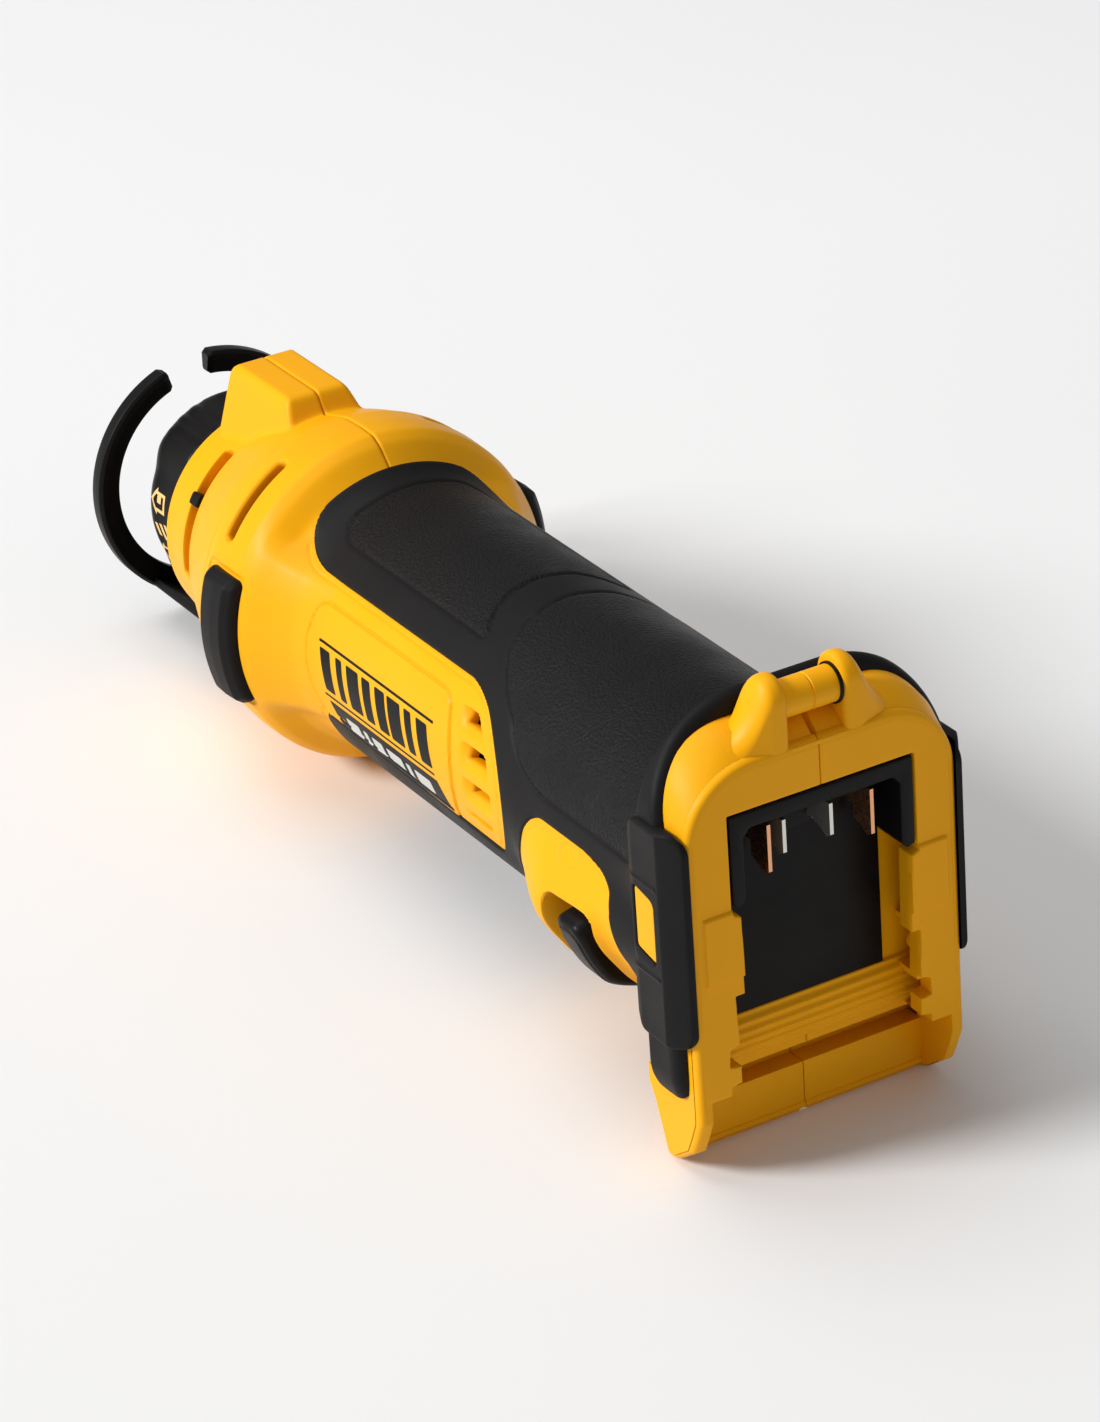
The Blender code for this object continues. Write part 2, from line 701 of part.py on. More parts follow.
def make_terminals(mats):
    whole = box((-26.0, 0.5, -27.6), (26.0, BAY_DEPTH - GAP, BAY_TOP - GAP))
    block = solid("terminal_block", whole, mats["black"])
    cut(block, solid("block_hollow", box((-22.4, -2.0, -40.0), (22.4, 12.2, 28.6))))
    cut(block, solid("block_foot", box((-30.0, -2.0, -40.0), (30.0, 12.2, 9.0))))
    slots = bmesh.new()
    for name, x, low, finish in BLADES:
        half = BLADE_THICK / 2
        outline = [(1.8, 27.0), (1.8, low + 1.0), (3.4, low), (9.5, low + 2.6), (9.5, 20.0),
                   (18.0, 20.0), (18.0, 25.0), (9.5, 25.0), (9.5, 27.0)]
        solid(name, prism(outline, "X", x - half, x + half), mats[finish])
        add_box(slots, (x - half - GAP, 11.0, 20.0 - GAP), (x + half + GAP, 16.0, 25.0 + GAP))
    cut(block, solid("blade_slots", slots))


def make_electronics(mats):
    solid("control_board", box((-21.0, 22.0, -20.0), (21.0, 23.6, 16.0)), mats["board"])
    outline = arc((-8.0, 2.0), 5.0, 0, 330, 12)
    solid("board_capacitor", prism(outline, "Y", 23.9, 40.0), mats["black"])
    solid("motor_switch_heatsink", box((4.0, 23.9, -8.0), (16.0, 34.0, 8.0)), mats["alloy"])


def make_switch(mats):
    reach = 180 - KNOB_TOP_ANGLE
    section = [(34.5, SWITCH_REAR), (44.4, SWITCH_REAR), (45.8, SWITCH_REAR + 1.5),
               (45.8, SWITCH_FRONT - 2.5), (44.0, SWITCH_FRONT), (34.5, SWITCH_FRONT)]
    band = swept(section, spread(180 - reach, 180 + reach, 13))
    slider = solid("switch_slider", band, mats["black"])
    join(slider, solid("slider_stem", box((-4.2, 45.4, -36.5), (4.2, 54.6, -28.2))))
    body = solid("switch_body", box((-9.0, 40.0, -27.2), (9.0, 72.0, -9.0)), mats["black"])
    cut(body, solid("switch_body_slot", box((-3.0, 43.8, -30.0), (3.0, 64.0, -24.0))))
    solid("switch_contact_bar", box((-2.4, 46.0, -27.0), (2.4, 54.0, -24.6)), mats["copper"])


# ---------------------------------------------------------------- motor and spindle

def make_motor(mats):
    can = [(MOTOR_REAR, 23.6), (MOTOR_REAR, MOTOR_CAN_R), (MOTOR_FRONT, MOTOR_CAN_R),
           (MOTOR_FRONT, 11.0), (MOTOR_FRONT - 2, 11.0), (MOTOR_FRONT - 2, 23.6)]
    solid("motor_can", turned(can, 24), mats["dark_steel"])
    for name, side in (("magnet_left", -1), ("magnet_right", 1)):
        section = [(20.7, 128), (23.3, 128), (23.3, 186), (20.7, 186)]
        solid(name, swept(section, [side * a for a in spread(28, 152, 11)]), mats["magnet"])
    outer = []
    for k in range(ARMATURE_SLOTS):
        for turn, r in ((-17, ARMATURE_R), (0, ARMATURE_R), (17, ARMATURE_R), (22.5, 11.0)):
            outer.append((turn + k * 360 / ARMATURE_SLOTS, r))
    core = bmesh.new()
    loops = []
    for y in (134.0, 180.0):
        loops.append([core.verts.new(polar(a, r, y)) for a, r in outer])
        loops.append([core.verts.new(polar(a, SHAFT_R + GAP, y)) for a, r in outer])
    a0, b0, a1, b1 = loops
    for i in range(len(a0)):
        k = (i + 1) % len(a0)
        core.faces.new((a0[i], a0[k], a1[k], a1[i]))
        core.faces.new((b0[k], b0[i], b1[i], b1[k]))
        core.faces.new((a0[k], a0[i], b0[i], b0[k]))
        core.faces.new((a1[i], a1[k], b1[k], b1[i]))
    solid("armature_core", core, mats["steel"])
    for name, low, high in (("winding_rear", 126.5, 133.7), ("winding_front", 180.3, 188.5)):
        ring = [(low, SHAFT_R + 3), (low, 15.5), (low + 2, 18.4), (high - 2, 18.4), (high, 15.5),
                (high, SHAFT_R + 3)]
        solid(name, turned(ring, 16), mats["winding"])
    commutator = [(113.0, SHAFT_R + GAP), (113.0, 10.0), (124.0, 10.0), (124.0, 11.4), (126.0, 11.4),
                  (126.0, SHAFT_R + GAP)]
    solid("commutator", turned(commutator, 16), mats["copper"])


BRUSH_Y = 117.5
SPRING_TURNS = 3
SPRING_START = 17.4
SPRING_LENGTH = 3.2
SPRING_R = 2.1
SPRING_WIRE_R = 0.45


def make_brushes(mats):
    plate = [(108.6, 12.0), (108.6, 25.0), (111.0, 25.0), (111.0, 12.0)]
    solid("brush_plate", turned(plate, 16), mats["black"])
    for name, side in (("left", -1), ("right", 1)):
        low, high = sorted((side * 10.4, side * 16.5))
        carbon = box((low, BRUSH_Y - 3, -3.0), (high, BRUSH_Y + 3, 3.0))
        solid("brush_" + name, carbon, mats["carbon"])
        low, high = sorted((side * 12.0, side * 22.4))
        case = box((low, BRUSH_Y - 6.2, -4.2), (high, BRUSH_Y + 4.5, 4.2))
        holder = solid("brush_holder_" + name, case, mats["brass"])
        low, high = sorted((side * 11.0, side * 21.4))
        bore = box((low, BRUSH_Y - 3 - GAP, -3 - GAP), (high, BRUSH_Y + 3 + GAP, 3 + GAP))
        cut(holder, solid("holder_bore_" + name, bore))
        steps = SPRING_TURNS * 8
        path = []
        for k in range(steps + 1):
            angle = math.radians(k * 45)
            x = SPRING_START + SPRING_LENGTH * k / steps
            path.append((side * x, BRUSH_Y + SPRING_R * math.cos(angle), SPRING_R * math.sin(angle)))
        solid("brush_spring_" + name, tube(path, SPRING_WIRE_R, 5), mats["steel"])


def make_leads(mats):
    """Two insulated wires from the control board to the brush holders, one down each side."""
    for name, side in (("motor_lead_left", -1), ("motor_lead_right", 1)):
        route = [(15.5, 24.6, 10.0), (15.8, 28.0, 11.0), (16.0, 36.0, 14.0), (16.3, 50.0, 16.2),
                 (16.4, 70.0, 16.6), (16.4, 88.0, 16.6), (16.6, 98.0, 16.6), (18.0, 101.5, 17.0),
                 (21.5, 105.0, 16.5), (24.6, 108.5, 13.0), (26.6, 111.5, 8.6), (26.3, 113.8, 5.0),
                 (24.9, 115.2, 2.4)]
        path = [(side * x, y, z) for x, y, z in route]
        solid(name, tube(path, 1.1, 6), mats["black"])


def make_spindle(mats):
    profile = [(100.0, 0), (100.0, 3.6), (101.0, SHAFT_R), (206.0, SHAFT_R), (206.0, 5.0), (240.0, 5.0),
               (240.0, 6.0), (252.0, 6.0), (252.0, 9.0), (297.0, 9.0), (297.0, 7.6), (278.0, 4.6),
               (256.0, 4.6), (256.0, 0)]
    solid("spindle", turned(profile, 16, closed=False), mats["steel"])
    rear = [(101.0, SHAFT_R + GAP), (101.0, 11.0), (108.0, 11.0), (108.0, SHAFT_R + GAP)]
    solid("rear_bearing", turned(rear, 16), mats["steel"])
    holder = [(99.0, 6.0), (99.0, 31.4), (100.7, 31.4), (100.7, 14.0), (107.0, 14.0), (107.0, 11.3),
              (100.5, 11.3), (100.5, 6.0)]
    ring = solid("rear_bearing_holder", turned(holder, 16), mats["black"])
    holes = bmesh.new()
    for turn in range(45, 405, 90):
        add_swept(holes, ring_section(17, 29, 95, 105), (turn - 26, turn, turn + 26))
    cut(ring, solid("holder_air_holes", holes))
    front = [(241.0, 6.0 + GAP), (241.0, 14.0), (250.0, 14.0), (250.0, 6.0 + GAP)]
    solid("front_bearing", turned(front, 16), mats["steel"])


def make_fan(mats):
    profile = [(213.5, 5.0 + GAP), (213.5, 9.5), (226.0, 11.0), (226.0, FAN_R), (228.0, FAN_R),
               (228.0, 9.0), (231.0, 9.0), (231.0, 5.0 + GAP)]
    fan = solid("cooling_fan", turned(profile, 18), mats["fan"])
    blades = bmesh.new()
    for k in range(FAN_BLADES):
        turn = k * 360 / FAN_BLADES
        rings = []
        for r, lag in ((9.0, 0.0), (19.0, 5.0), (28.5, 13.0), (37.6, 24.0)):
            wide = math.degrees(0.8 / r)
            low = 214.5 + 5.0 * smooth(r, 12, 37)
            rings.append([polar(turn + lag + d, r, y) for d, y in
                          ((-wide, low), (wide, low), (wide, 226.8), (-wide, 226.8))])
        add_loft(blades, rings)
    join(fan, solid("fan_blades", blades))
    baffle = [(209.5, 21.0), (209.5, 39.7), (211.8, 39.7), (211.8, 25.0), (213.0, 23.0), (213.0, 21.0)]
    solid("fan_baffle", turned(baffle, 18), mats["black"])


# ---------------------------------------------------------------- nose

CAP_R = 11.0


def make_nose(mats):
    """Cast nose with the keyless collet: collet, cap, release sleeve and its two pins."""
    profile = [(237.0, 8.0), (237.0, 31.6), (241.5, 31.6), (241.5, 18.0), (252.0, 18.0), (256.0, 22.0),
               (300.0, 22.0), (300.0, 19.0), (256.5, 19.0), (251.0, 14.3), (240.7, 14.3), (240.7, 8.0)]
    nose = solid("nose_housing", turned(profile, 20), mats["alloy"])
    slots = bmesh.new()
    add_box(slots, (-26.0, 266.0, -2.8), (26.0, 277.0, 2.8))
    cut(nose, solid("nose_pin_slots", slots))
    sleeve = [(263.0, 12.0), (263.0, 18.7), (294.0, 18.7), (296.0, 17.0), (296.0, 9.6), (294.0, 9.6),
              (294.0, 12.0)]
    solid("release_sleeve", turned(sleeve, 16), mats["dark_steel"])
    for name, side in (("release_pin_left", -1), ("release_pin_right", 1)):
        low, high = sorted((side * 19.0, side * 23.8))
        outline = arc((269.5, 0.0), 2.4, 0, 330, 12)
        solid(name, prism(outline, "X", low, high), mats["steel"])
    collet = [(280.0, 1.7), (280.0, 4.0), (298.0, 6.8), (302.0, 6.8), (302.0, 1.7)]
    grip = solid("collet", turned(collet, 16), mats["steel"])
    slits = bmesh.new()
    for turn in (0, 60, 120):
        wide = 0.35
        rings = []
        for r in (-8.0, 8.0):
            centre = polar(turn, r, 0)
            across = polar(turn + 90, wide, 0)
            rings.append([centre - across + Vector((0, 286, 0)), centre + across + Vector((0, 286, 0)),
                          centre + across + Vector((0, 304, 0)), centre - across + Vector((0, 304, 0))])
        add_loft(slits, rings)
    cut(grip, solid("collet_slits", slits))
    hexagon = arc((0, 0), CAP_R, 0, 300, 6)
    cap = solid("collet_cap", prism(hexagon, "Y", 298.0, 305.5), mats["dark_steel"])
    bore = [(290.0, 0), (290.0, 7.4), (302.3, 7.4), (302.3, 3.2), (310.0, 3.2), (310.0, 0)]
    cut(cap, solid("cap_bore", turned(bore, 16, closed=False)))


COLLAR_LOBES = (
    # angle, outer radius
    (0, 30.4), (20, 30.6), (48, 30.2), (62, 27.4), (90, 27.2), (118, 27.4), (134, 30.2), (180, 30.4))
COLLAR_BORE_R = 23.0
CAM_CHANNEL_R = 25.4
COLLAR_ANGLES = (10, 30, 48, 62, 90, 118, 134, 152, 172)


def make_collar(mats):
    """Twist collar round the nose: two flats with symbols, two lobes to grip, two lock lugs."""
    stations = (
        # y, outer radius, or a scale on the lobes, inner radius
        (262.8, 30.4, None, COLLAR_BORE_R), (265.3, 30.4, None, COLLAR_BORE_R),
        (265.5, 30.4, None, CAM_CHANNEL_R), (278.0, 30.4, None, CAM_CHANNEL_R),
        (278.2, 30.4, None, COLLAR_BORE_R), (286.0, 30.4, None, COLLAR_BORE_R),
        (287.0, None, 1.0, COLLAR_BORE_R), (301.0, None, 1.0, COLLAR_BORE_R),
        (305.0, None, 0.965, 21.6), (305.5, None, 0.955, 15.0), (COLLAR_FRONT, None, 0.86, 15.0))
    angles = around(COLLAR_ANGLES)
    outer, inner = [], []
    for a in angles:
        lobe = between(abs(a), COLLAR_LOBES)
        outer.append([polar(a, fixed if fixed else lobe * scale, y) for y, fixed, scale, _ in stations])
        inner.append([polar(a, bore, y) for y, _, _, bore in stations])
    collar = solid("locking_collar", shell_grid(outer, inner, lambda i, j: True), mats["black"])
    for name, low, high in (("lug_left", -61.0, -55.0), ("lug_right", 33.0, 39.0)):
        section = ring_section(28.0, 36.2, SLOT_REAR + 0.6, SLOT_FRONT - 0.6)
        join(collar, solid(name, swept(section, (low, (low + high) / 2, high))))


def make_depth_foot(mats):
    """Open ring in front of the nose, and the curved arm under it that slides in the head."""
    web = [(RING_INNER_R, RING_REAR + 1.4), (RING_OUTER_R - 2.6, RING_REAR + 0.6),
           (RING_OUTER_R - 1.0, RING_REAR), (RING_OUTER_R, RING_REAR + 0.8),
           (RING_OUTER_R, RING_FRONT), (RING_INNER_R + 0.6, RING_FRONT),
           (RING_INNER_R, RING_FRONT - 0.8)]
    turn = spread(RING_GAP_RIGHT, 360 + RING_GAP_LEFT, 31)
    foot = solid("depth_foot", swept(web, turn), mats["black"])
    arm = [(ARM_R_IN, ARM_REAR), (ARM_R_OUT, ARM_REAR), (ARM_R_OUT - 0.2, RING_REAR + 2),
           (ARM_R_IN, RING_REAR + 2)]
    reach = spread(180 - ARM_HALF_ANGLE, 180 + ARM_HALF_ANGLE, 9)
    join(foot, solid("foot_arm", swept(arm, reach)))


def make_depth_lock(mats):
    """Thumb screw that clamps the foot's arm, with a soft pad under its tip."""
    skin = LOCK_SEAT_R + GAP
    profile = [(39.2, 0), (39.2, 2.4), (skin, 2.4), (skin, 6.2), (skin + 4.4, 6.4), (skin + 5.0, 5.6),
               (skin + 5.0, 0)]
    solid("depth_lock_knob", radial_turned(profile, LOCK_ANGLE, LOCK_Y, 20), mats["black"],
          origin=polar(LOCK_ANGLE, skin, LOCK_Y))
    pad = [(37.5, 0), (37.5, 2.9), (38.8, 2.9), (38.8, 0)]
    solid("depth_lock_pad", radial_turned(pad, LOCK_ANGLE, LOCK_Y, 12), mats["brass"])


def make_light(mats):
    outline = mirrored([(5.4, 39.0), (6.0, 40.0), (6.0, 45.0), (5.0, 46.2)])
    solid("light_lens", prism(outline, "Y", 275.5, 278.9), mats["lens"])
    solid("light_board", box((-6.0, 270.0, 38.0), (6.0, 271.4, 46.4)), mats["board"])


def make_screws(mats):
    for k, (y, z, tip, seat) in enumerate(SCREWS):
        top = seat + SCREW_HEAD_LENGTH
        stations = ((tip, 0.9), (tip + 1.6, SCREW_R), (seat, SCREW_R), (seat, SCREW_HEAD_R),
                    (top - 0.6, SCREW_HEAD_R), (top, SCREW_HEAD_R - 0.7))
        rings = [screw_ring(x, y, z, r) for x, r in stations]
        solid(f"housing_screw_{k + 1}", loft(rings), mats["dark_steel"])


def lay_down():
    """Tilt the tool onto its foot and head, with the origin at the bottom centre of its box."""
    tool.rotation_euler = (REST_TILT, 0, 0)
    bpy.context.view_layer.update()
    graph = bpy.context.evaluated_depsgraph_get()
    low = Vector((1e9, 1e9, 1e9))
    high = -low
    for ob in bpy.data.objects:
        if ob.type != "MESH" or ob.hide_render:
            continue
        shape = ob.evaluated_get(graph)
        for vert in shape.data.vertices:
            point = shape.matrix_world @ vert.co
            low = Vector(map(min, low, point))
            high = Vector(map(max, high, point))
    tool.location = Vector((-(low.x + high.x) / 2, -(low.y + high.y) / 2, -low.z))


for old in list(bpy.data.objects):
    bpy.data.objects.remove(old)
tool = bpy.data.objects.new("tool_frame", None)
bpy.context.scene.collection.objects.link(tool)
finishes = make_materials()
make_housings(finishes)
make_sleeve(finishes)
make_rear_bumpers(finishes)
make_head_bumpers(finishes)
make_hang_bar(finishes)
make_terminals(finishes)
make_electronics(finishes)
make_switch(finishes)
make_motor(finishes)
make_brushes(finishes)
make_leads(finishes)
make_spindle(finishes)
make_fan(finishes)
make_nose(finishes)
make_collar(finishes)
make_depth_foot(finishes)
make_depth_lock(finishes)
make_light(finishes)
make_screws(finishes)
lay_down()
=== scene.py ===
"""Looks of the cordless drywall cut-out tool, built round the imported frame.

Shapes are worked out in millimetres in the tool's own frame: +Y along the spindle towards the
foot, +Z up, Y = 0 at the rear face. Angles round the spindle are in degrees from +Z, positive
towards +X. Most skins are grids of two parameters, cut cleanly where a signed distance is zero.
"""
import json
import math

import bmesh
import bpy
import numpy as np
from mathutils import Matrix, Vector

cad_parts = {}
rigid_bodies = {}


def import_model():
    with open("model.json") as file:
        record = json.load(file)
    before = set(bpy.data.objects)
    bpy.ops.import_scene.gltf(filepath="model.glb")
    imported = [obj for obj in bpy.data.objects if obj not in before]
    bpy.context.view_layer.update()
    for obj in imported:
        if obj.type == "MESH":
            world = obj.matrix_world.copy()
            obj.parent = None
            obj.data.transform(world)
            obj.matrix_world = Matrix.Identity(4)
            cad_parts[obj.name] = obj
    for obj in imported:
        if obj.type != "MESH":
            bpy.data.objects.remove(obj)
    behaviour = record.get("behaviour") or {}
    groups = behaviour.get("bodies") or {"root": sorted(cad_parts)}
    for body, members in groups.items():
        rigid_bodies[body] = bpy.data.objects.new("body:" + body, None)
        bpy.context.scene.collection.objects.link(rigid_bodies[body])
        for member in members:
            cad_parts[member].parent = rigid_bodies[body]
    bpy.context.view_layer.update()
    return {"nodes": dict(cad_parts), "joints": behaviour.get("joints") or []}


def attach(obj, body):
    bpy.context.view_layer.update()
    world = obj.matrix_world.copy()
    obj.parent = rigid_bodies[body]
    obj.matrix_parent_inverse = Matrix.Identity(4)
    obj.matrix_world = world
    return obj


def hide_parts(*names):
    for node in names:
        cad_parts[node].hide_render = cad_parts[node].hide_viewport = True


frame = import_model()

MM = 0.001
SPIN_POINT_Y = 200.0

# The tool's frame, from the joint that turns the spindle.
spin = next(j for j in frame["joints"] if j["name"] == "spindle_spin")
AXIS_X = Vector((1, 0, 0))
AXIS_Y = Vector(spin["axis"]).normalized()
AXIS_Z = AXIS_X.cross(AXIS_Y)
ORIGIN = Vector(spin["pos_m"]) - AXIS_Y * SPIN_POINT_Y * MM
TURN = np.array([AXIS_X, AXIS_Y, AXIS_Z])

# Driving dimensions, in millimetres.
HANDLE_R = 36.5
SLEEVE_R = 37.5
PLATE_HALF = 38.5
PLATE_TOP = 46.3
PLATE_CORNER = 20.0
FOOT_BOTTOM = -63.9
DRUM_R = 47.7
NOSE_FRONT = 283.0
NOSE_BORE = 31.0
BAR_Y = 6.5
BAR_Z = 56.0
BAR_R = 4.7
RAIL_LIP = 5.0
SIDES = (("left", -1), ("right", 1))


# ---- arithmetic

def smooth(value, low, high):
    t = np.clip((value - low) / (high - low), 0.0, 1.0)
    return t * t * (3 - 2 * t)


def table(value, pairs):
    a, b = zip(*pairs)
    return np.interp(value, a, b)


def rounded_table(pairs, blur):
    """Profile through a table of (position, value) pairs, with its corners rounded."""
    step = 0.25
    fine = np.arange(pairs[0][0] - 20, pairs[-1][0] + 20, step)
    values = table(fine, pairs)
    reach = int(4 * blur / step)
    weights = np.exp(-0.5 * (np.arange(-reach, reach + 1) * step / blur) ** 2)
    values = np.convolve(np.pad(values, reach, "edge"), weights / weights.sum(), "valid")
    return lambda value: np.interp(value, fine, values)


def both(a, b, r):
    """Distance to the overlap of two regions, with its corner rounded; negative is inside."""
    u, v = np.maximum(r + a, 0), np.maximum(r + b, 0)
    return np.minimum(-r, np.maximum(a, b)) + np.hypot(u, v)


def either(a, b, r):
    """Distance to the union of two regions, with the corner between them rounded."""
    u, v = np.maximum(r - a, 0), np.maximum(r - b, 0)
    return np.maximum(r, np.minimum(a, b)) - np.hypot(u, v)


def soft_max(a, b, k):
    h = np.maximum(k - np.abs(a - b), 0) / k
    return np.maximum(a, b) + h * h * k / 4


def soft_min(a, b, k):
    return -soft_max(-a, -b, k)


def rounded_box(u, v, centre, half, r):
    """Distance to a rounded rectangle; negative is inside."""
    p = np.abs(u - centre[0]) - (half[0] - r)
    q = np.abs(v - centre[1]) - (half[1] - r)
    return np.minimum(np.maximum(p, q), 0) + np.hypot(np.maximum(p, 0), np.maximum(q, 0)) - r


def polygon(u, v, points):
    """Distance to a closed polygon; negative is inside."""
    nearest = np.full(np.shape(u), 1e9)
    crossed = np.zeros(np.shape(u), bool)
    for (ax, ay), (bx, by) in zip(points, points[1:] + points[:1]):
        dx, dy = bx - ax, by - ay
        t = np.clip(((u - ax) * dx + (v - ay) * dy) / (dx * dx + dy * dy), 0, 1)
        nearest = np.minimum(nearest, np.hypot(u - ax - t * dx, v - ay - t * dy))
        if ay != by:
            hit = (ay > v) != (by > v)
            crossed ^= hit & (u < ax + (v - ay) / dy * dx)
    return np.where(crossed, -nearest, nearest)


def lip(inside, r):
    """How far a surface drops towards its rim, for a rounded edge of radius r."""
    t = np.clip(r - inside, 0, r)
    return r - np.sqrt(r * r - t * t)


def steps(low, high, step):
    return np.linspace(low, high, max(2, int(round((high - low) / step)) + 1))


def polar(angle, radius, y):
    turn = np.radians(angle)
    return np.stack([radius * np.sin(turn), y + 0 * turn, radius * np.cos(turn)], -1)


def arc(centre, radius, start, end, count):
    turns = np.radians(np.linspace(start, end, count))
    return [(centre[0] + radius * math.cos(t), centre[1] + radius * math.sin(t)) for t in turns]


def rectangle(u0, v0, u1, v1):
    return [(u0, v0), (u1, v0), (u1, v1), (u0, v1)]


def mirrored(points):
    """Closed outline from the right half of a shape that is symmetric about X = 0."""
    return list(points) + [(-a, b) for a, b in reversed(points)]


# ---- meshes

WELD_DISTANCE = 2e-6


def to_row(points):
    """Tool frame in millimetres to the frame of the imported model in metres."""
    return np.asarray(points, float) @ TURN * MM + np.array(ORIGIN)


def linked(ob):
    bpy.context.scene.collection.objects.link(ob)
    return ob


def piece(name, points, faces, mat, body, nodes=(), slot=None, sharp=35, weld=False):
    """Mesh object from points in the tool's frame, riding on a body."""
    mesh = bpy.data.meshes.new(name)
    mesh.from_pydata(to_row(points).tolist(), [], faces)
    if weld:
        bm = bmesh.new()
        bm.from_mesh(mesh)
        bmesh.ops.remove_doubles(bm, verts=bm.verts, dist=WELD_DISTANCE)
        bmesh.ops.recalc_face_normals(bm, faces=bm.faces)
        bm.to_mesh(mesh)
        bm.free()
    mesh.validate()
    mesh.shade_smooth()
    mesh.set_sharp_from_angle(angle=math.radians(sharp))
    mesh.materials.append(mat)
    ob = linked(bpy.data.objects.new(name, mesh))
    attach(ob, body)
    if nodes:
        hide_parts(*nodes)
    return ob


def sheet(us, vs, field, place, outward, backs=()):
    """Points and faces of the part of a grid where field > 0, with walls to each backing in turn."""
    u, v = np.meshgrid(us, vs, indexing="ij")
    f = field(u, v)
    inside = f > 0
    index = np.full(f.shape, -1)
    index[inside] = np.arange(inside.sum())
    points = [place(u[inside], v[inside], f[inside])]
    whole = inside[:-1, :-1] & inside[1:, :-1] & inside[1:, 1:] & inside[:-1, 1:]
    faces = np.stack([index[:-1, :-1][whole], index[1:, :-1][whole],
                      index[1:, 1:][whole], index[:-1, 1:][whole]], -1).tolist()
    some = inside[:-1, :-1] | inside[1:, :-1] | inside[1:, 1:] | inside[:-1, 1:]
    base = int(inside.sum())
    cuts, cut_uv, rim = {}, [], []

    def cut(a, b):
        key = (a, b) if a < b else (b, a)
        if key not in cuts:
            (i, j), (k, l) = key
            t = f[i, j] / (f[i, j] - f[k, l])
            t = min(0.995, max(0.005, t))
            cut_uv.append((u[i, j] + (u[k, l] - u[i, j]) * t, v[i, j] + (v[k, l] - v[i, j]) * t))
            cuts[key] = base + len(cut_uv) - 1
        return cuts[key]

    for i, j in np.argwhere(some & ~whole):
        corners = [(i, j), (i + 1, j), (i + 1, j + 1), (i, j + 1)]
        face, leaves = [], []
        for a, b in zip(corners, corners[1:] + corners[:1]):
            if inside[a]:
                face.append(int(index[a]))
            if inside[a] != inside[b]:
                if inside[a]:
                    leaves.append(len(face))
                face.append(cut(a, b))
        faces.append(face)
        rim += [(face[k], face[(k + 1) % len(face)]) for k in leaves]
    if cut_uv:
        cu, cv = np.array(cut_uv).T
        points.append(place(cu, cv, np.zeros(len(cu))))
        count = len(cu)
        for k, back in enumerate(backs):
            points.append(back(cu, cv))
            for a, b in rim:
                a, b = a + k * count, b + k * count
                faces.append([b, a, a + count, b + count])
    points = np.concatenate(points)
    first = faces[len(faces) // 2 if whole.sum() < 2 else int(whole.sum()) // 2]
    p = points[first[:3]]
    normal = np.cross(p[1] - p[0], p[2] - p[0])
    if np.dot(normal, outward(p[0])) < 0:
        faces = [face[::-1] for face in faces]
    return points, faces


def radial(point):
    return np.array([point[0], 0, point[2]])


def facing(x, y, z):
    return lambda point: np.array([x, y, z])


def merged(*parts):
    """Several (points, faces) pairs as one."""
    points, faces, base = [], [], 0
    for p, f in parts:
        points.append(np.asarray(p, float))
        faces += [[k + base for k in face] for face in f]
        base += len(p)
    return np.concatenate(points), faces


def lofted(rings, caps=True):
    """Points and faces of a skin through closed rings of equal count."""
    count = len(rings[0])
    points = np.array([p for ring in rings for p in ring], float)
    faces = []
    for r in range(len(rings) - 1):
        for i in range(count):
            k = (i + 1) % count
            faces.append([r * count + i, r * count + k, (r + 1) * count + k, (r + 1) * count + i])
    if caps:
        faces.append(list(range(count)))
        faces.append([len(points) - count + i for i in range(count)])
    return points, faces


def rounded_outline(points, r, count=5):
    """Polygon with every corner replaced by an arc that touches both sides."""
    result = []
    total = len(points)
    for k in range(total):
        before, here, after = (np.array(points[(k + d) % total], float) for d in (-1, 0, 1))
        to_a, to_b = before - here, after - here
        la, lb = np.linalg.norm(to_a), np.linalg.norm(to_b)
        to_a, to_b = to_a / la, to_b / lb
        half = math.acos(np.clip(np.dot(to_a, to_b), -1, 1)) / 2
        if half > math.radians(86):
            result.append(tuple(here))
            continue
        back = min(r / math.tan(half), 0.45 * la, 0.45 * lb)
        for t in np.linspace(0, 1, count):
            a, b = here + to_a * back * (1 - t), here + to_b * back * t
            result.append(tuple((a * (1 - t) + b * t)))
    return result


def slab(outline, axis, low, high, bevel, rows=3):
    """Outline extruded along an axis with both of its rims rounded."""
    base_line = np.array(outline, float)
    after = np.roll(base_line, -1, 0) - base_line
    before = base_line - np.roll(base_line, 1, 0)
    after /= np.linalg.norm(after, axis=1)[:, None]
    before /= np.linalg.norm(before, axis=1)[:, None]
    normal = np.stack([after[:, 1] + before[:, 1], -after[:, 0] - before[:, 0]], -1)
    normal /= np.maximum(np.sum(normal * np.stack([after[:, 1], -after[:, 0]], -1), axis=1), 0.5)[:, None]
    area = np.sum(base_line[:, 0] * np.roll(base_line[:, 1], -1)
                  - base_line[:, 1] * np.roll(base_line[:, 0], -1))
    inward = -normal if area > 0 else normal
    rim = [(low + bevel * (1 - math.sin(t)), bevel * (1 - math.cos(t)))
           for t in np.linspace(0, math.pi / 2, rows + 1)]
    sections = rim[::-1] + [(high - (h - low), inset) for h, inset in rim]
    return lofted([np.insert(base_line + inward * inset, "XYZ".index(axis), h, axis=1)
                   for h, inset in sections])


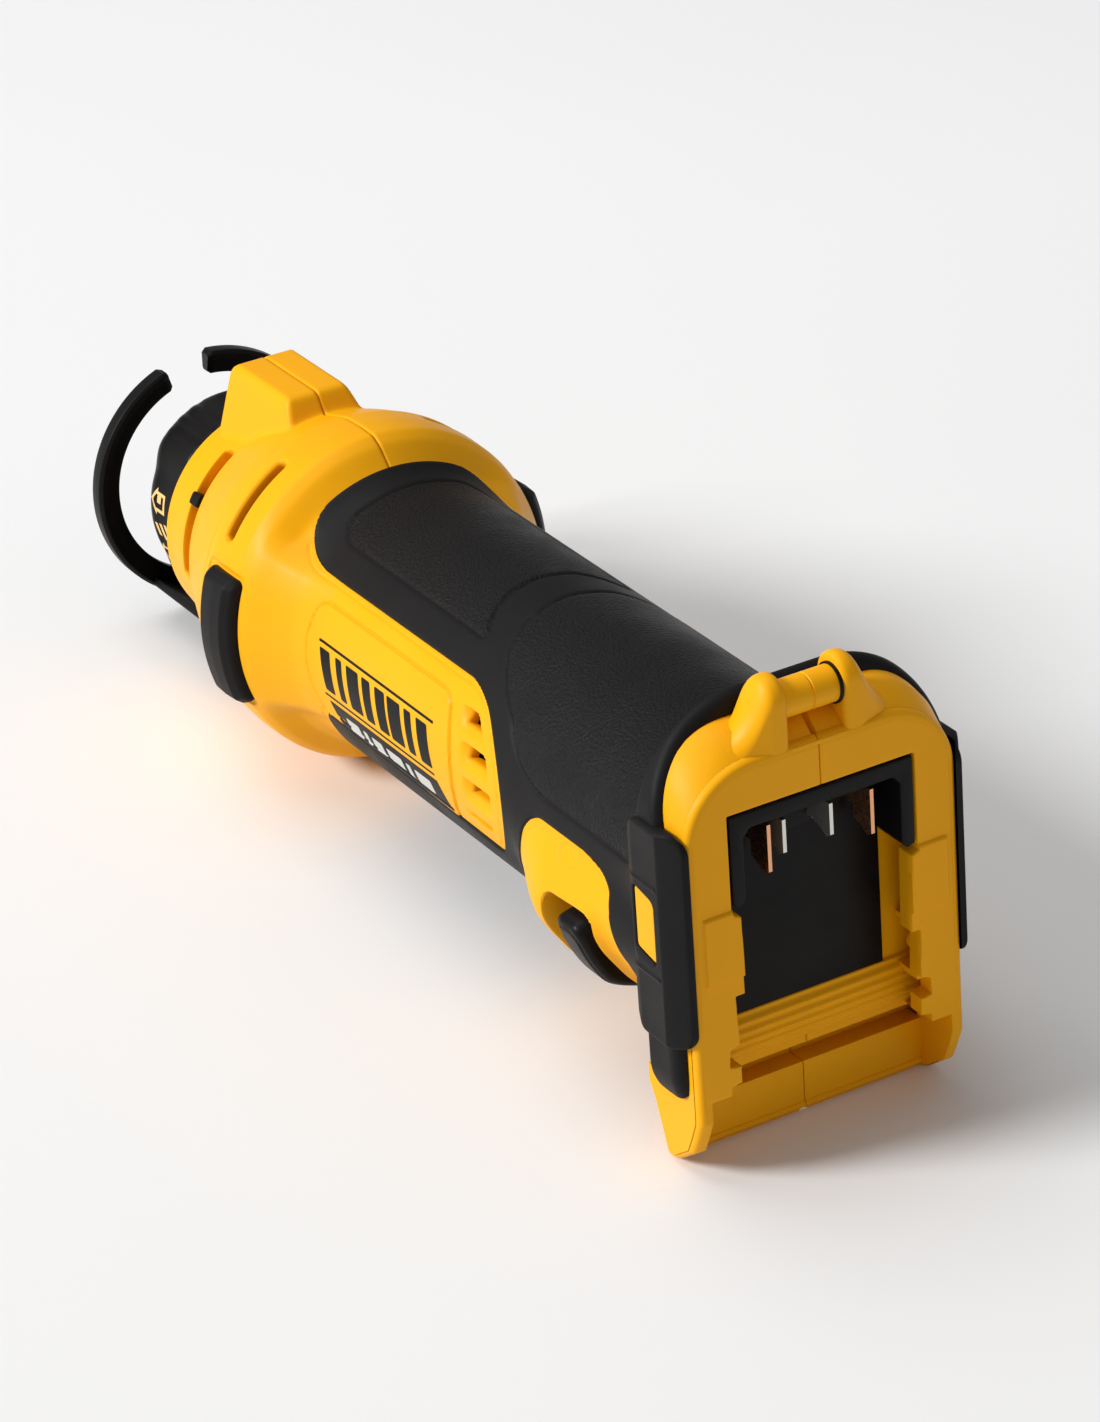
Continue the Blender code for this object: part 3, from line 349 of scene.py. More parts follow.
def turned(profile, centre=(0, 0), axis="Y", count=96):
    """(position, radius) profile turned round an axis, closed at both ends by its own points."""
    turns = np.linspace(0, 2 * math.pi, count, endpoint=False)
    rings = []
    for h, r in profile:
        ring = np.stack([centre[0] + r * np.cos(turns), centre[1] + r * np.sin(turns)], -1)
        rings.append(np.insert(ring, "XYZ".index(axis), h, axis=1))
    return lofted(rings, caps=False)


# ---- materials

def shader_material(name, colour, roughness, metallic=0.0):
    mat = bpy.data.materials.new(name)
    mat.use_nodes = True
    tree = mat.node_tree
    bsdf = tree.nodes["Principled BSDF"]
    bsdf.inputs["Base Color"].default_value = (*colour, 1)
    bsdf.inputs["Roughness"].default_value = roughness
    bsdf.inputs["Metallic"].default_value = metallic
    return mat, tree, bsdf


def noise(tree, scale, detail=4.0, stretch=None):
    """Noise in the object's own coordinates; scale is in cells per metre."""
    where = tree.nodes.new("ShaderNodeTexCoord")
    tex = tree.nodes.new("ShaderNodeTexNoise")
    tex.inputs["Scale"].default_value = scale
    tex.inputs["Detail"].default_value = detail
    source = where.outputs["Object"]
    if stretch:
        mapping = tree.nodes.new("ShaderNodeMapping")
        mapping.inputs["Scale"].default_value = stretch
        tree.links.new(source, mapping.inputs["Vector"])
        source = mapping.outputs["Vector"]
    tree.links.new(source, tex.inputs["Vector"])
    return tex


def glossed(tree, bsdf, source, low, high):
    """Lets a texture's factor move the roughness between two values."""
    ramp = tree.nodes.new("ShaderNodeMapRange")
    ramp.inputs["From Min"].default_value = 0.35
    ramp.inputs["From Max"].default_value = 0.65
    ramp.inputs["To Min"].default_value = low
    ramp.inputs["To Max"].default_value = high
    tree.links.new(source, ramp.inputs["Value"])
    tree.links.new(ramp.outputs["Result"], bsdf.inputs["Roughness"])


def tinted(tree, bsdf, factor, colour_a, colour_b):
    mix = tree.nodes.new("ShaderNodeMix")
    mix.data_type = "RGBA"
    mix.inputs[6].default_value = (*colour_a, 1)
    mix.inputs[7].default_value = (*colour_b, 1)
    tree.links.new(factor, mix.inputs[0])
    tree.links.new(mix.outputs[2], bsdf.inputs["Base Color"])


def bumped(tree, bsdf, height, strength, distance):
    bump = tree.nodes.new("ShaderNodeBump")
    bump.inputs["Strength"].default_value = strength
    bump.inputs["Distance"].default_value = distance
    tree.links.new(height, bump.inputs["Height"])
    tree.links.new(bump.outputs["Normal"], bsdf.inputs["Normal"])


def plastic(name, colour, roughness, grain_scale, grain, depth=0.00012, cloud=0.06, shine=0.25):
    """Moulded plastic: slight drift of colour and gloss, spark-eroded grain."""
    mat, tree, bsdf = shader_material(name, colour, roughness)
    bsdf.inputs["Specular IOR Level"].default_value = shine
    drift = noise(tree, 22.0, 2.0)
    darker = [c * (1 - cloud) for c in colour]
    lighter = [min(1.0, c * (1 + cloud)) for c in colour]
    tinted(tree, bsdf, drift.outputs["Fac"], darker, lighter)
    gloss = noise(tree, 60.0, 5.0)
    glossed(tree, bsdf, gloss.outputs["Fac"], roughness - 0.05, roughness + 0.06)
    grit = noise(tree, grain_scale, 3.0)
    bumped(tree, bsdf, grit.outputs["Fac"], grain, depth)
    return mat


def metal(name, colour, roughness, stretch=(1, 1, 1), scale=900.0):
    """Bare metal with fine machining marks."""
    mat, tree, bsdf = shader_material(name, colour, roughness, 1.0)
    marks = noise(tree, scale, 3.0, stretch)
    glossed(tree, bsdf, marks.outputs["Fac"], roughness - 0.08, roughness + 0.1)
    tinted(tree, bsdf, marks.outputs["Fac"], [c * 0.88 for c in colour], colour)
    bumped(tree, bsdf, marks.outputs["Fac"], 0.15, 0.00005)
    return mat


def lens_material():
    mat, tree, bsdf = shader_material("clear_lens", (0.92, 0.95, 0.96), 0.06)
    bsdf.inputs["Transmission Weight"].default_value = 0.7
    bsdf.inputs["IOR"].default_value = 1.5
    ripple = noise(tree, 500.0, 1.0)
    bumped(tree, bsdf, ripple.outputs["Fac"], 0.1, 0.00005)
    return mat


YELLOW = plastic("yellow_nylon", (0.9, 0.4, 0.0025), 0.42, 2600.0, 0.16, shine=0.14)
RUBBER = plastic("rubber", (0.008, 0.0072, 0.0074), 0.5, 3000.0, 0.5, cloud=0.2, shine=0.13)
RUBBER_GRAIN = plastic("rubber_grain", (0.0062, 0.0058, 0.0062), 0.45, 1300.0, 1.0, 0.0006, 0.25, 0.14)
BLACK = plastic("black_nylon", (0.0055, 0.0048, 0.0046), 0.4, 2200.0, 0.25, cloud=0.2, shine=0.13)
PRINT_BLACK = plastic("printed_black", (0.005, 0.005, 0.0055), 0.4, 2600.0, 0.1, shine=0.1)
PRINT_CREAM = plastic("printed_cream", (0.83, 0.53, 0.19), 0.5, 2600.0, 0.1)
PRINT_GREY = plastic("printed_grey", (0.55, 0.55, 0.52), 0.45, 2600.0, 0.1)
STEEL = metal("ground_steel", (0.56, 0.57, 0.58), 0.3)
DARK_STEEL = metal("dark_steel", (0.11, 0.11, 0.115), 0.36)
ALLOY = metal("cast_alloy", (0.55, 0.56, 0.57), 0.45, scale=1500.0)
COPPER = metal("copper", (0.85, 0.42, 0.22), 0.3, (1, 1, 8))
SILVER = metal("plated", (0.86, 0.84, 0.78), 0.22, (1, 1, 8))
BRASS = metal("brass", (0.75, 0.55, 0.22), 0.35)
CARBON = plastic("carbon", (0.04, 0.04, 0.04), 0.55, 3000.0, 0.3)
FERRITE = plastic("ferrite", (0.07, 0.07, 0.08), 0.6, 3000.0, 0.3)
BOARD = plastic("solder_mask", (0.02, 0.14, 0.06), 0.4, 900.0, 0.3)
WINDING = metal("enamel_wire", (0.55, 0.2, 0.07), 0.38, (1, 1, 6), 1600.0)
FAN = plastic("fan_nylon", (0.05, 0.05, 0.055), 0.5, 2400.0, 0.3)
LENS = lens_material()


# ---- shape of the rubber grip

HALF_TOP_RUBBER = 32.7
SIDE_BOTTOM = 74.6
HEAD_TOP_EDGE = 208.0
HEAD_LOW_EDGE = 189.0
GUARD_REAR = ((78, 54.0), (80, 48.0), (83, 42.0), (88, 37.5), (94, 35.0), (100, 33.0), (111, 30.0),
              (125, 28.5), (180, 28.5))
GUARD_FRONT = ((78, 78.5), (94, 79.5), (116, 82.2), (137, 87.0), (180, 90.0))
GUARD_TOP = 53.2
LEG_ANGLE = 138.0


def along(angle):
    """Distance round the handle from the top line, on either side."""
    return np.radians(np.abs(angle)) * SLEEVE_R


def side_panel(angle, y):
    """Distance to the yellow area: the panels on both sides and the head; negative is inside."""
    s = along(angle)
    rear = 91.0 + 0.027 * (np.minimum(s, 90) - 60) ** 2
    low_edge = SIDE_BOTTOM - (y - 98) * 0.045
    panel = both(both(HALF_TOP_RUBBER - s, (rear - y) * 0.85, 6.0), s - low_edge, 2.0)
    head_top = HEAD_TOP_EDGE - y
    head_low = HEAD_LOW_EDGE - y
    weight = smooth(s, 48, 60)
    return either(panel, head_top, 15.0) * (1 - weight) + either(panel, head_low, 5.0) * weight


def guard_window(angle, y):
    """Distance to the opening round the switch guard; negative is inside."""
    a = np.abs(angle)
    top = GUARD_TOP - along(angle)
    front = y - table(a, GUARD_FRONT)
    rear = (table(a, GUARD_REAR) - y) * np.where(a < 94, 0.62, 1.0)
    return both(both(top, front, 8.0), rear, 4.0)


def flange_rear(angle):
    """Where the rubber starts behind the plate: lower on the sides, and past the plate below."""
    a = np.abs(angle)
    return 14.0 - 9.0 * smooth(a, 24, 72) + 19.0 * smooth(a, LEG_ANGLE - 1.5, LEG_ANGLE + 3)


def grip_field(angle, y):
    f = np.minimum(side_panel(angle, y), guard_window(angle, y))
    return np.minimum(f, y - flange_rear(angle))


def outline_radius(angle, half, top, bottom, corner_top, corner_low):
    """Distance from the spindle to a rounded rectangle, along each angle."""
    turn = np.radians(angle)
    sx, cz = np.abs(np.sin(turn)) + 1e-9, np.abs(np.cos(turn)) + 1e-9
    upper = np.cos(turn) > 0
    edge = np.where(upper, top, -bottom)
    corner = np.where(upper, corner_top, corner_low)
    r = np.minimum(half / sx, edge / cz)
    px, pz = half - corner, edge - corner
    b = sx * px + cz * pz
    c = px * px + pz * pz - corner * corner
    on_arc = b + np.sqrt(np.maximum(b * b - c, 0))
    return np.where((r * sx > px) & (r * cz > pz), on_arc, r)


GRIP_LINE = rounded_table(((28, SLEEVE_R), (194, SLEEVE_R), (204, 39.5), (209, 42.0), (213, 46.2)), 1.8)
GRIP_GROOVES = 0.5
GUARD_BULGE = rounded_table(((30, 8.8), (38, 8.3), (46, 7.6), (61, 9.0), (66, 9.0), (73, 6.3), (81, 2.2),
                             (88, 0)), 1.6)


def guard_bulge(angle, y):
    """How far the handle swells round the switch guard."""
    a = np.abs(angle)
    dip = 4.6 * smooth(a, 90, 112) * (1 - smooth(a, 146, 160)) * (1 - smooth(y, 38.5, 46))
    return np.maximum(GUARD_BULGE(y) * smooth(a, 80, 110) - dip, 0)


def rear_panel(angle, y):
    """Distance to the outline of the coarse panel at the rear of the grip."""
    a = np.abs(angle)
    front = table(a, ((0, 117.5), (20, 116.0), (34, 111.5), (46, 102.5), (54, 94.5), (66, 87), (73, 81)))
    s = along(angle)
    return both(both((y - front) * 0.8, s - 47.4, 9.0), 30.0 - y, 2.0)


def front_panel(angle, y):
    """Distance to the outline of the coarse panel at the front of the grip."""
    a = np.abs(angle)
    s = along(angle)
    rear = table(a, ((0, 131.0), (14, 130.0), (24, 127.0), (36, 121.0)))
    return both(both(s - 23.2, y - 199.5, 9.0), (rear - y) * 0.93, 3.0)


def grip_radius(angle, y, inside):
    flange = outline_radius(angle, 41.7, 57.2, -49.0, 30.0, 14.0)
    t = np.clip((y - 17.5) / 24.0, 0, 1)
    sweep = (1 - t) ** 2.5
    base = GRIP_LINE(y)
    r = base + (flange - base) * sweep
    r = soft_max(r, SLEEVE_R + 0.2 + guard_bulge(angle, y), 1.0)
    groove = np.minimum(np.abs(rear_panel(angle, y)), np.abs(front_panel(angle, y)))
    r = r - GRIP_GROOVES * np.exp(-(groove / 0.5) ** 2)
    raised = smooth(-np.minimum(rear_panel(angle, y), front_panel(angle, y)), 0.2, 1.6)
    r = r + 0.15 * raised
    soft = 1.0 + 2.6 * smooth(-y, -26, -18)
    return r - lip(inside, soft)


def make_grip():
    angles = steps(-180, 180, 0.75)
    ys = np.concatenate([steps(4.6, 40, 0.5)[:-1], steps(40, 212, 0.6)])

    def place(a, y, f):
        return polar(a, grip_radius(a, y, f), y)

    def back(a, y):
        deep = np.where(y < 30, 5.0, 2.4)
        return polar(a, grip_radius(a, y, 9.0 + 0 * y) - deep, y)

    points, faces = sheet(angles, ys, grip_field, place, radial, [back])
    ob = piece("rubber_grip", points, faces, RUBBER, "tool", ["grip_sleeve"], "rubber", weld=True)
    ob.data.materials.append(RUBBER_GRAIN)
    local = (np.array([v.co for v in ob.data.vertices]) - np.array(ORIGIN)) @ TURN.T / MM
    centres = np.array([local[list(p.vertices)].mean(0) for p in ob.data.polygons])
    angle = np.degrees(np.arctan2(centres[:, 0], centres[:, 2]))
    coarse = np.minimum(rear_panel(angle, centres[:, 1]), front_panel(angle, centres[:, 1])) < -0.3
    ob.data.polygons.foreach_set("material_index", coarse.astype(np.int32))
    return ob


# ---- housing: handle and head

BODY_LINE = rounded_table((
    (28, HANDLE_R), (194, HANDLE_R), (203, 38.0), (208, 40.3), (213, 45.6), (216.5, 47.5),
    (224, DRUM_R), (232, 47.2), (242, 44.4), (254, 39.9), (262, 36.6), (264, 35.4), (270, 34.6),
    (NOSE_FRONT, 32.9)), 0.7)
SIDE_LINE = rounded_table((
    (28, 37.3), (186, 37.3), (197, 39.4), (206, 43.2), (212.5, 46.5), (217, 47.5), (224, DRUM_R)), 1.8)
BUMP_LINE = rounded_table(((236, 35), (241.5, 40), (247.2, 48.9), (249, 49.4), (277.5, 49.4),
                           (279.5, 48.0)), 0.5)
BUMP_FRONT = 279.2
BUMP_SIDE = 23.43
DRUM_Y = 224.0
# How far below the spindle the drum reaches, where it rests on the ground.
DRUM_FLAT = 47.0
NOSE_R = 36.0
# Middle and half length of the switch's channel along the handle, and the angle where it starts.
SWITCH_CHANNEL = (52.3, 9.8)
CHANNEL_ANGLE = 99.5
CHANNEL_MM_PER_DEGREE = 0.72
# Air inlets: distance round the handle and position along it.
LOUVRES = ((42.8, 108.0), (51.5, 104.6), (60.8, 103.0), (70.8, 104.5))
SEAM = 0.1
WALL = 2.6


def label_plate(angle, y):
    """Distance to the raised plate on each side panel; negative is inside."""
    s = along(angle)
    rear = 116.8 + 0.012 * (s - 60) ** 2
    front = 191.0 - 3.5 * ((s - 52) / 16) ** 2
    return both(both(rear - y, y - front, 1.5), 39.0 - s, 3.5)


def housing_holes(angle, y):
    """Distance to the nearest opening in the skin; negative is inside."""
    a = np.abs(angle)
    s = along(angle)
    holes = rounded_box(np.radians(a - 43) * DRUM_R, y, (0, 227.0), (13.0, 1.9), 1.8)
    lock = rounded_box(np.radians(a - 63.5) * NOSE_R, y, (0, 266.5), (20.4, 2.7), 1.6)
    holes = np.minimum(holes, lock)
    frame_edge = side_panel(angle, y) + 5.2
    for centre, middle in LOUVRES:
        slit = rounded_box(s, y, (centre - 1.2, middle - 1.6), (1.9, 6.4), 0.3)
        holes = np.minimum(holes, both(slit, frame_edge + 0.5, 0.4))
    middle, half = SWITCH_CHANNEL
    inward = (a - CHANNEL_ANGLE) * CHANNEL_MM_PER_DEGREE
    switch = rounded_box(np.maximum(inward, 0), y, (0, middle), (200.0, half), 3.0)
    switch = both(switch, -inward, 3.5)
    return np.minimum(holes, switch)


def housing_field(angle, y):
    seam = np.abs(np.sin(np.radians(angle))) * HANDLE_R - SEAM
    f = np.minimum(seam, housing_holes(angle, y))
    f = np.minimum(f, NOSE_FRONT - y)
    return np.minimum(f, 3.5 - np.minimum(grip_field(angle, y), y - 27.0))


def bump_radius(angle, y):
    turn = np.radians(np.abs(angle))
    top = BUMP_LINE(y) / np.maximum(np.cos(turn), 0.2)
    slope = BUMP_SIDE / (0.955 * np.sin(turn) + 0.297 * np.maximum(np.cos(turn), 0.0) + 1e-6)
    shown = (y < BUMP_FRONT) & (y > 232) & (turn < math.radians(80))
    return np.where(shown, soft_min(top, slope, 3.0), 0.0)


def housing_radius(angle, y):
    a = np.abs(angle)
    side = smooth(a, 42, 58) * (1 - smooth(a, 110, 124)) * (y < DRUM_Y)
    r = BODY_LINE(y) * (1 - side) + np.maximum(SIDE_LINE(y), BODY_LINE(y)) * side
    r = r + guard_bulge(angle, y)
    label = label_plate(angle, y)
    r = r + 0.35 * smooth(-label, -0.1, 0.5) - 0.4 * np.exp(-((label - 0.3) / 0.35) ** 2)
    s = along(angle)
    for centre, middle in LOUVRES:
        channel = both(rounded_box(s, y, (centre, middle), (3.3, 9.2), 0.8), side_panel(angle, y) + 5.0, 0.8)
        ramp = np.clip((centre + 3.3 - s) / 5.0, 0, 1) * smooth(middle + 9.2 - y, 0.5, 7.0)
        r = r - 3.0 * ramp * smooth(-channel, 0, 0.5)
    edge = side_panel(angle, y) + 1.5
    r = r - 0.3 * np.exp(-(edge / 0.3) ** 2) * (y < 205)
    exhaust = rounded_box(np.radians(a - 43) * DRUM_R, y, (0, 227.0), (14.0, 2.9), 2.8)
    r = r - 0.5 * smooth(-exhaust, 0, 0.8)
    bumper = rounded_box(np.radians(a - 90.5) * DRUM_R, y, (0, 223.5), (19.9, 9.3), 2.0)
    r = r - 0.5 * smooth(-bumper, -0.3, 0.3)
    r = r - 0.25 * np.exp(-((y - 236.0) / 0.35) ** 2) * smooth(a, 18, 24)
    icon = np.abs(rounded_box(s, y, (56.0, 57.0), (2.6, 4.2), 2.5)) - 0.1
    r = r + 0.3 * smooth(-icon, -0.5, 0.1)
    r = np.minimum(r, DRUM_FLAT / np.maximum(-np.cos(np.radians(angle)), 0.3))
    return soft_max(r, bump_radius(angle, y), 1.6)


def housing_skin(side):
    half = np.concatenate([[0.0], steps(0.25, 2, 0.35), steps(2.6, 178, 0.62), steps(178.2, 180, 0.35)])
    ys = np.concatenate([steps(24, 96, 0.7)[:-1], steps(96, 121, 0.45)[:-1], steps(121, 186, 0.7)[:-1],
                         steps(186, 279, 0.5)[:-1], [279.0, BUMP_FRONT - 0.02, BUMP_FRONT + 0.02],
                         steps(279.6, 283.2, 0.4)])

    def place(a, y, f):
        return polar(a * side, housing_radius(a, y) - lip(f, 0.6), y)

    def back(a, y):
        r = housing_radius(a, y)
        deep = np.where(y < 90, 8.0, WALL)
        inner = np.where(y > NOSE_FRONT - 1, NOSE_BORE, r - deep)
        return polar(a * side, inner, y)

    def nose_back(a, y):
        r = housing_radius(a, y)
        deep = np.where(y < 90, 8.2, WALL + 0.2)
        at_nose = y > NOSE_FRONT - 1
        return polar(a * side, np.where(at_nose, NOSE_BORE, r - deep), np.where(at_nose, 258.0, y))

    return sheet(half, ys, housing_field, place, radial, [back, nose_back])


# ---- housing: battery plate

RAIL_EDGE = [
    (26.4, 33.4), (26.4, 7.3), (24.3, 6.3), (23.9, -15.2), (26.6, -15.3), (26.1, -28.6),
    (28.9, -29.5), (29.1, -34.1), (26.0, -34.5), (26.0, -39.2), (28.9, -39.8), (29.0, -42.0),
    (34.7, -42.0), (34.7, -75.0)]
FACE_Y = 0.8
LEG_FRONT = ((-63.9, 16.2), (-49.1, 21.6), (-45.0, 24.0))


def plate_rim(x, z):
    upper = rounded_box(x, z, (0, 0), (PLATE_HALF, PLATE_TOP), PLATE_CORNER)
    lower = rounded_box(x, z, (0, 0), (PLATE_HALF, -FOOT_BOTTOM), 2.5)
    return np.where(z > 0, upper, lower)


def plate_mouth(x, z):
    return polygon(np.abs(x), z, mirrored(RAIL_EDGE))


def plate_field(x, z):
    return np.minimum(np.minimum(-plate_rim(x, z), plate_mouth(x, z)), np.abs(x) - SEAM)


def plate_depth(x, z, f):
    y = FACE_Y + table(z, ((-63.9, 15.4), (-62.5, 12.0), (-57.1, 4.3), (-52, 1.9), (-47.5, 0), (50, 0)))
    pad = rounded_box(np.abs(x), z, (28.6, -0.85), (6.2, 9.15), 0.6)
    y = y - 0.8 * smooth(-pad, -0.1, 0.3)
    y = y + 0.15 * np.exp(-((plate_rim(x, z) + 1.9) / 0.25) ** 2) * (z > -44)
    y = y + lip(np.minimum(-plate_rim(x, z), 9.0), 2.0)
    y = y + lip(np.minimum(f, 9.0), 0.45) * (f < 0.5)
    return np.minimum(y, table(z, LEG_FRONT) - 0.1)


def plate_level(x, z):
    """Rear surface without the rounding at the mouth."""
    return plate_depth(x, z, np.full(np.shape(x), 9.0))


def plate_skin(side):
    xs = np.concatenate([[0.0], steps(0.2, 23, 0.6)[:-1], steps(23, 38.7, 0.3)])
    zs = np.concatenate([steps(-64.2, -43, 0.5)[:-1], steps(-43, 12, 0.35)[:-1], steps(12, 46.6, 0.45)])

    def place(x, z, f):
        return np.stack([x * side, plate_depth(x, z, f), z], -1)

    def walls(x, z, y_rim, y_mouth, flare):
        mouth = np.abs(plate_mouth(x, z)) < np.abs(plate_rim(x, z))
        out = flare * smooth(z, 5, 40)
        grow_x = 1 + out * 0.12 / PLATE_HALF
        grow_z = 1 + out / PLATE_TOP
        depth_mouth = np.where(z > 8.2, 12.6, np.where(z > -41.9, RAIL_LIP, 15.2))
        y_inside = np.maximum(depth_mouth * y_mouth + 0.5, plate_level(x, z) + 0.1)
        y = np.where(mouth, np.minimum(y_inside, table(z, LEG_FRONT)), y_rim)
        keep = mouth | (x < 0.5)
        return np.stack([np.where(keep, x, x * grow_x) * side, y,
                         np.where(keep, z, z * grow_z)], -1)

    def first(x, z):
        return walls(x, z, np.maximum(2.6, plate_level(x, z) + 0.2), 0.5, 0.0)

    def hidden(x, z):
        return flange_rear(np.degrees(np.arctan2(x, z))) + 0.9

    def second(x, z):
        y = np.maximum(8.0, plate_level(x, z) + 0.3)
        y = np.where(z > -40, np.minimum(y, hidden(x, z) - 0.6), y)
        return walls(x, z, np.minimum(y, table(z, LEG_FRONT)), 0.9, 4.6)

    def third(x, z):
        y = np.where(z > -40, np.minimum(hidden(x, z), 15.0), table(z, LEG_FRONT))
        return walls(x, z, y, 1.0, 5.6)

    def fourth(x, z):
        points = walls(x, z, table(z, LEG_FRONT), 1.05, 0.0)
        outside = (np.abs(plate_rim(x, z)) < 1.0) & (z > -40)
        points[..., 0] *= np.where(outside, 0.88, 1.0)
        points[..., 2] *= np.where(outside & (z > 0), 0.82, 1.0)
        return points

    return sheet(xs, zs, plate_field, place, facing(0, -1, 0), [first, second, third, fourth])


def leg_front(side):
    """Forward-facing side of the foot."""
    def field(x, z):
        rim = rounded_box(x, z, (0, 0), (PLATE_HALF, -FOOT_BOTTOM), 2.5)
        return np.minimum(np.minimum(-rim, x - SEAM), -40.0 - z)

    def place(x, z, f):
        return np.stack([x * side, table(z, LEG_FRONT) + 0 * x, z], -1)

    return sheet(steps(0, 38.6, 1.2), steps(-64.2, -39.6, 1.0), field, place, facing(0, 1, 0))


def ear(side):
    """Hump beside the hang bar, with a concave outer slope."""
    xs = [7.8, 7.8, 8.0, 8.6, 9.6] + list(np.linspace(10.4, 24.5, 18))
    insets = [6.0, 1.6, 0.7, 0.15, 0.0] + [0.0] * 18
    top_line = rounded_table(((6, 63.4), (12.0, 63.2), (13.4, 61.5), (16.0, 55.6), (19.5, 50.6),
                              (25, 46.0)), 0.9)
    rings = []
    for x, inset in zip(xs, insets):
        top = float(top_line(x)) - inset
        depth = 6.2 - 0.5 * max(0.0, x - 12) / 6 - inset
        middle = BAR_Y + 0.7 + 0.12 * max(0.0, x - 12)
        outline = [(middle - depth, 40.0)]
        outline += arc((middle, max(top - depth, 40.5)), depth, 180, 0, 22)
        outline += [(middle + depth, 40.0)]
        rings.append([(side * x, y, z) for y, z in outline])
    return lofted(rings)


def bay_parts(side):
    """Yellow walls inside the battery bay on one side."""
    inner, outer = 0.1, 33.4
    made = []

    def block(outline, axis, low, high, bevel=0.35):
        if axis == "X":
            low, high = sorted((side * low, side * high))
            made.append(slab(outline, axis, low, high, bevel))
        else:
            made.append(slab([(side * a, b) for a, b in outline], axis, low, high, bevel))

    block(rectangle(inner, -43.0, outer, 33.2), "Y", 12.9, 15.0)
    block(rectangle(5.2, 7.8, 14.0, -44.0), "X", 33.0, 35.2)
    block(rectangle(26.2, 7.9, 34.0, 10.5), "Y", 5.4, 14.0)
    block(rectangle(20.8, -38.0, 23.0, -51.0), "X", inner, 35.0)
    panel = [(15.0, -49.5), (22.6, -49.5), (22.6, -52.0), (17.4, -62.6), (16.0, -63.4), (14.6, -62.0),
             (14.6, -60.9), (15.0, -60.7)]
    block(panel, "X", inner, 34.9, 0.25)
    rib = []
    for t in np.linspace(0, 1, 61):
        swell = math.sin(math.pi * t) ** 0.55
        rib.append((12.6 - 2.6 * swell - 0.3 * math.cos(2 * math.pi * 5.5 * t), -27.6 - 13.0 * t))
    rib += [(16.5, -40.6), (16.5, -27.6)]
    block(rib, "X", 0.0, 33.2, 0.05)
    for low in (-16.2, -30.4):
        block(rectangle(26.6, low, 32.8, low + 1.6), "Y", 3.2, 12.0, 0.2)
    made.append(turned([(2.2, 0.9), (2.2, 2.4), (3.0, 2.8), (9.0, 2.8), (9.0, 0.9)],
                       (side * 30.4, -22.4), "Y", 32))
    return merged(*made)


def make_housings():
    for word, side in SIDES:
        name = "housing_" + word
        skins = merged(housing_skin(side), plate_skin(side), leg_front(side))
        ob = piece(name, *skins, YELLOW, "tool", [word + "_housing"], "housing")
        inner = piece(name + "_bay", *merged(ear(side), bay_parts(side)), YELLOW, "tool", (), "housing",
                      weld=True)
        inner.parent = ob.parent
    floor = []
    for side in (-1, 1):
        def field(a, y):
            middle, half = SWITCH_CHANNEL
            return np.minimum(half + 1.2 - np.abs(y - middle), a - 98.0)

        def place(a, y, f):
            return polar(a * side, 34.3 + 0 * y, y)

        floor.append(sheet(steps(97, 180, 1.5), steps(40, 65, 1.0), field, place, radial))
    piece("switch_channel_floor", *merged(*floor), YELLOW, "tool", (), "housing")
    pocket = slab(rectangle(-7.6, 44.2, 7.6, 45.4), "Y", 0.9, 14.0, 0.3)
    piece("hang_loop_floor", *pocket, YELLOW, "tool", (), "housing", weld=True)


def make_hang_bar():
    profile = [(-8.4, 0.5), (-8.4, BAR_R - 0.3), (-8.1, BAR_R), (-0.35, BAR_R), (-0.12, BAR_R - 0.3),
               (0.12, BAR_R - 0.3), (0.35, BAR_R), (8.1, BAR_R), (8.4, BAR_R - 0.3), (8.4, 0.5)]
    piece("hang_bar_pin", *turned(profile, (BAR_Y, BAR_Z), "X", 64), YELLOW, "tool", ["hang_bar"],
          "housing", weld=True)
    # Painted shadow: a black ring where the bar enters the right ear stands in for the shade in the gap
    # there.
    ring = [(7.1, BAR_R - 0.3), (7.1, BAR_R + 0.55), (7.9, BAR_R + 0.55), (7.9, BAR_R - 0.3)]
    piece("hang_bar_shadow_ring", *turned(ring, (BAR_Y, BAR_Z), "X", 64), BLACK, "tool", (), "black",
          weld=True)


# ---- rubber bumpers

def make_rear_bumpers():
    for word, side in SIDES:
        name = "rear_bumper_" + word

        def field(y, z):
            outer = rounded_box(y, z, (10.6, 2.6), (10.4, 29.2), 5.0)
            window = rounded_box(y, z - 0.2 * (y - 14.6), (14.6, 3.9), (4.5, 8.6), 1.4)
            return np.minimum(-outer, window)

        def reach(y, z):
            ridge = sum(np.exp(-((z - at) / 0.45) ** 2) for at in (16.2, -8.4))
            face = 43.0 - 4.3 * np.clip((7.0 - y) / 7.0, 0, 1) ** 1.1
            return face + 0.35 * ridge * (y > 8) - 0.7 * smooth(y, 17.5, 21)

        def place(y, z, f):
            return np.stack([side * (reach(y, z) - lip(f, 1.0)), y, z], -1)

        def back(y, z):
            return np.stack([side * (39.6 + 0 * y), y, z], -1)

        skin = sheet(steps(0, 21.4, 0.35), steps(-27, 32.2, 0.35), field, place, facing(side, 0, 0), [back])
        piece(name + "_pad", *skin, RUBBER, "tool", [name], "rubber")

        def boss_field(y, z):
            return -rounded_box(y, z - 0.2 * (y - 14.6), (14.6, 3.9), (4.3, 8.4), 1.2)

        def boss(y, z, f):
            return np.stack([side * (42.3 - lip(f, 0.6)), y, z], -1)

        boss_skin = sheet(steps(10.0, 19.2, 0.3), steps(-5.9, 13.7, 0.3), boss_field, boss,
                          facing(side, 0, 0), [back])
        piece(name + "_window_boss", *boss_skin, YELLOW, "tool", (), "housing")


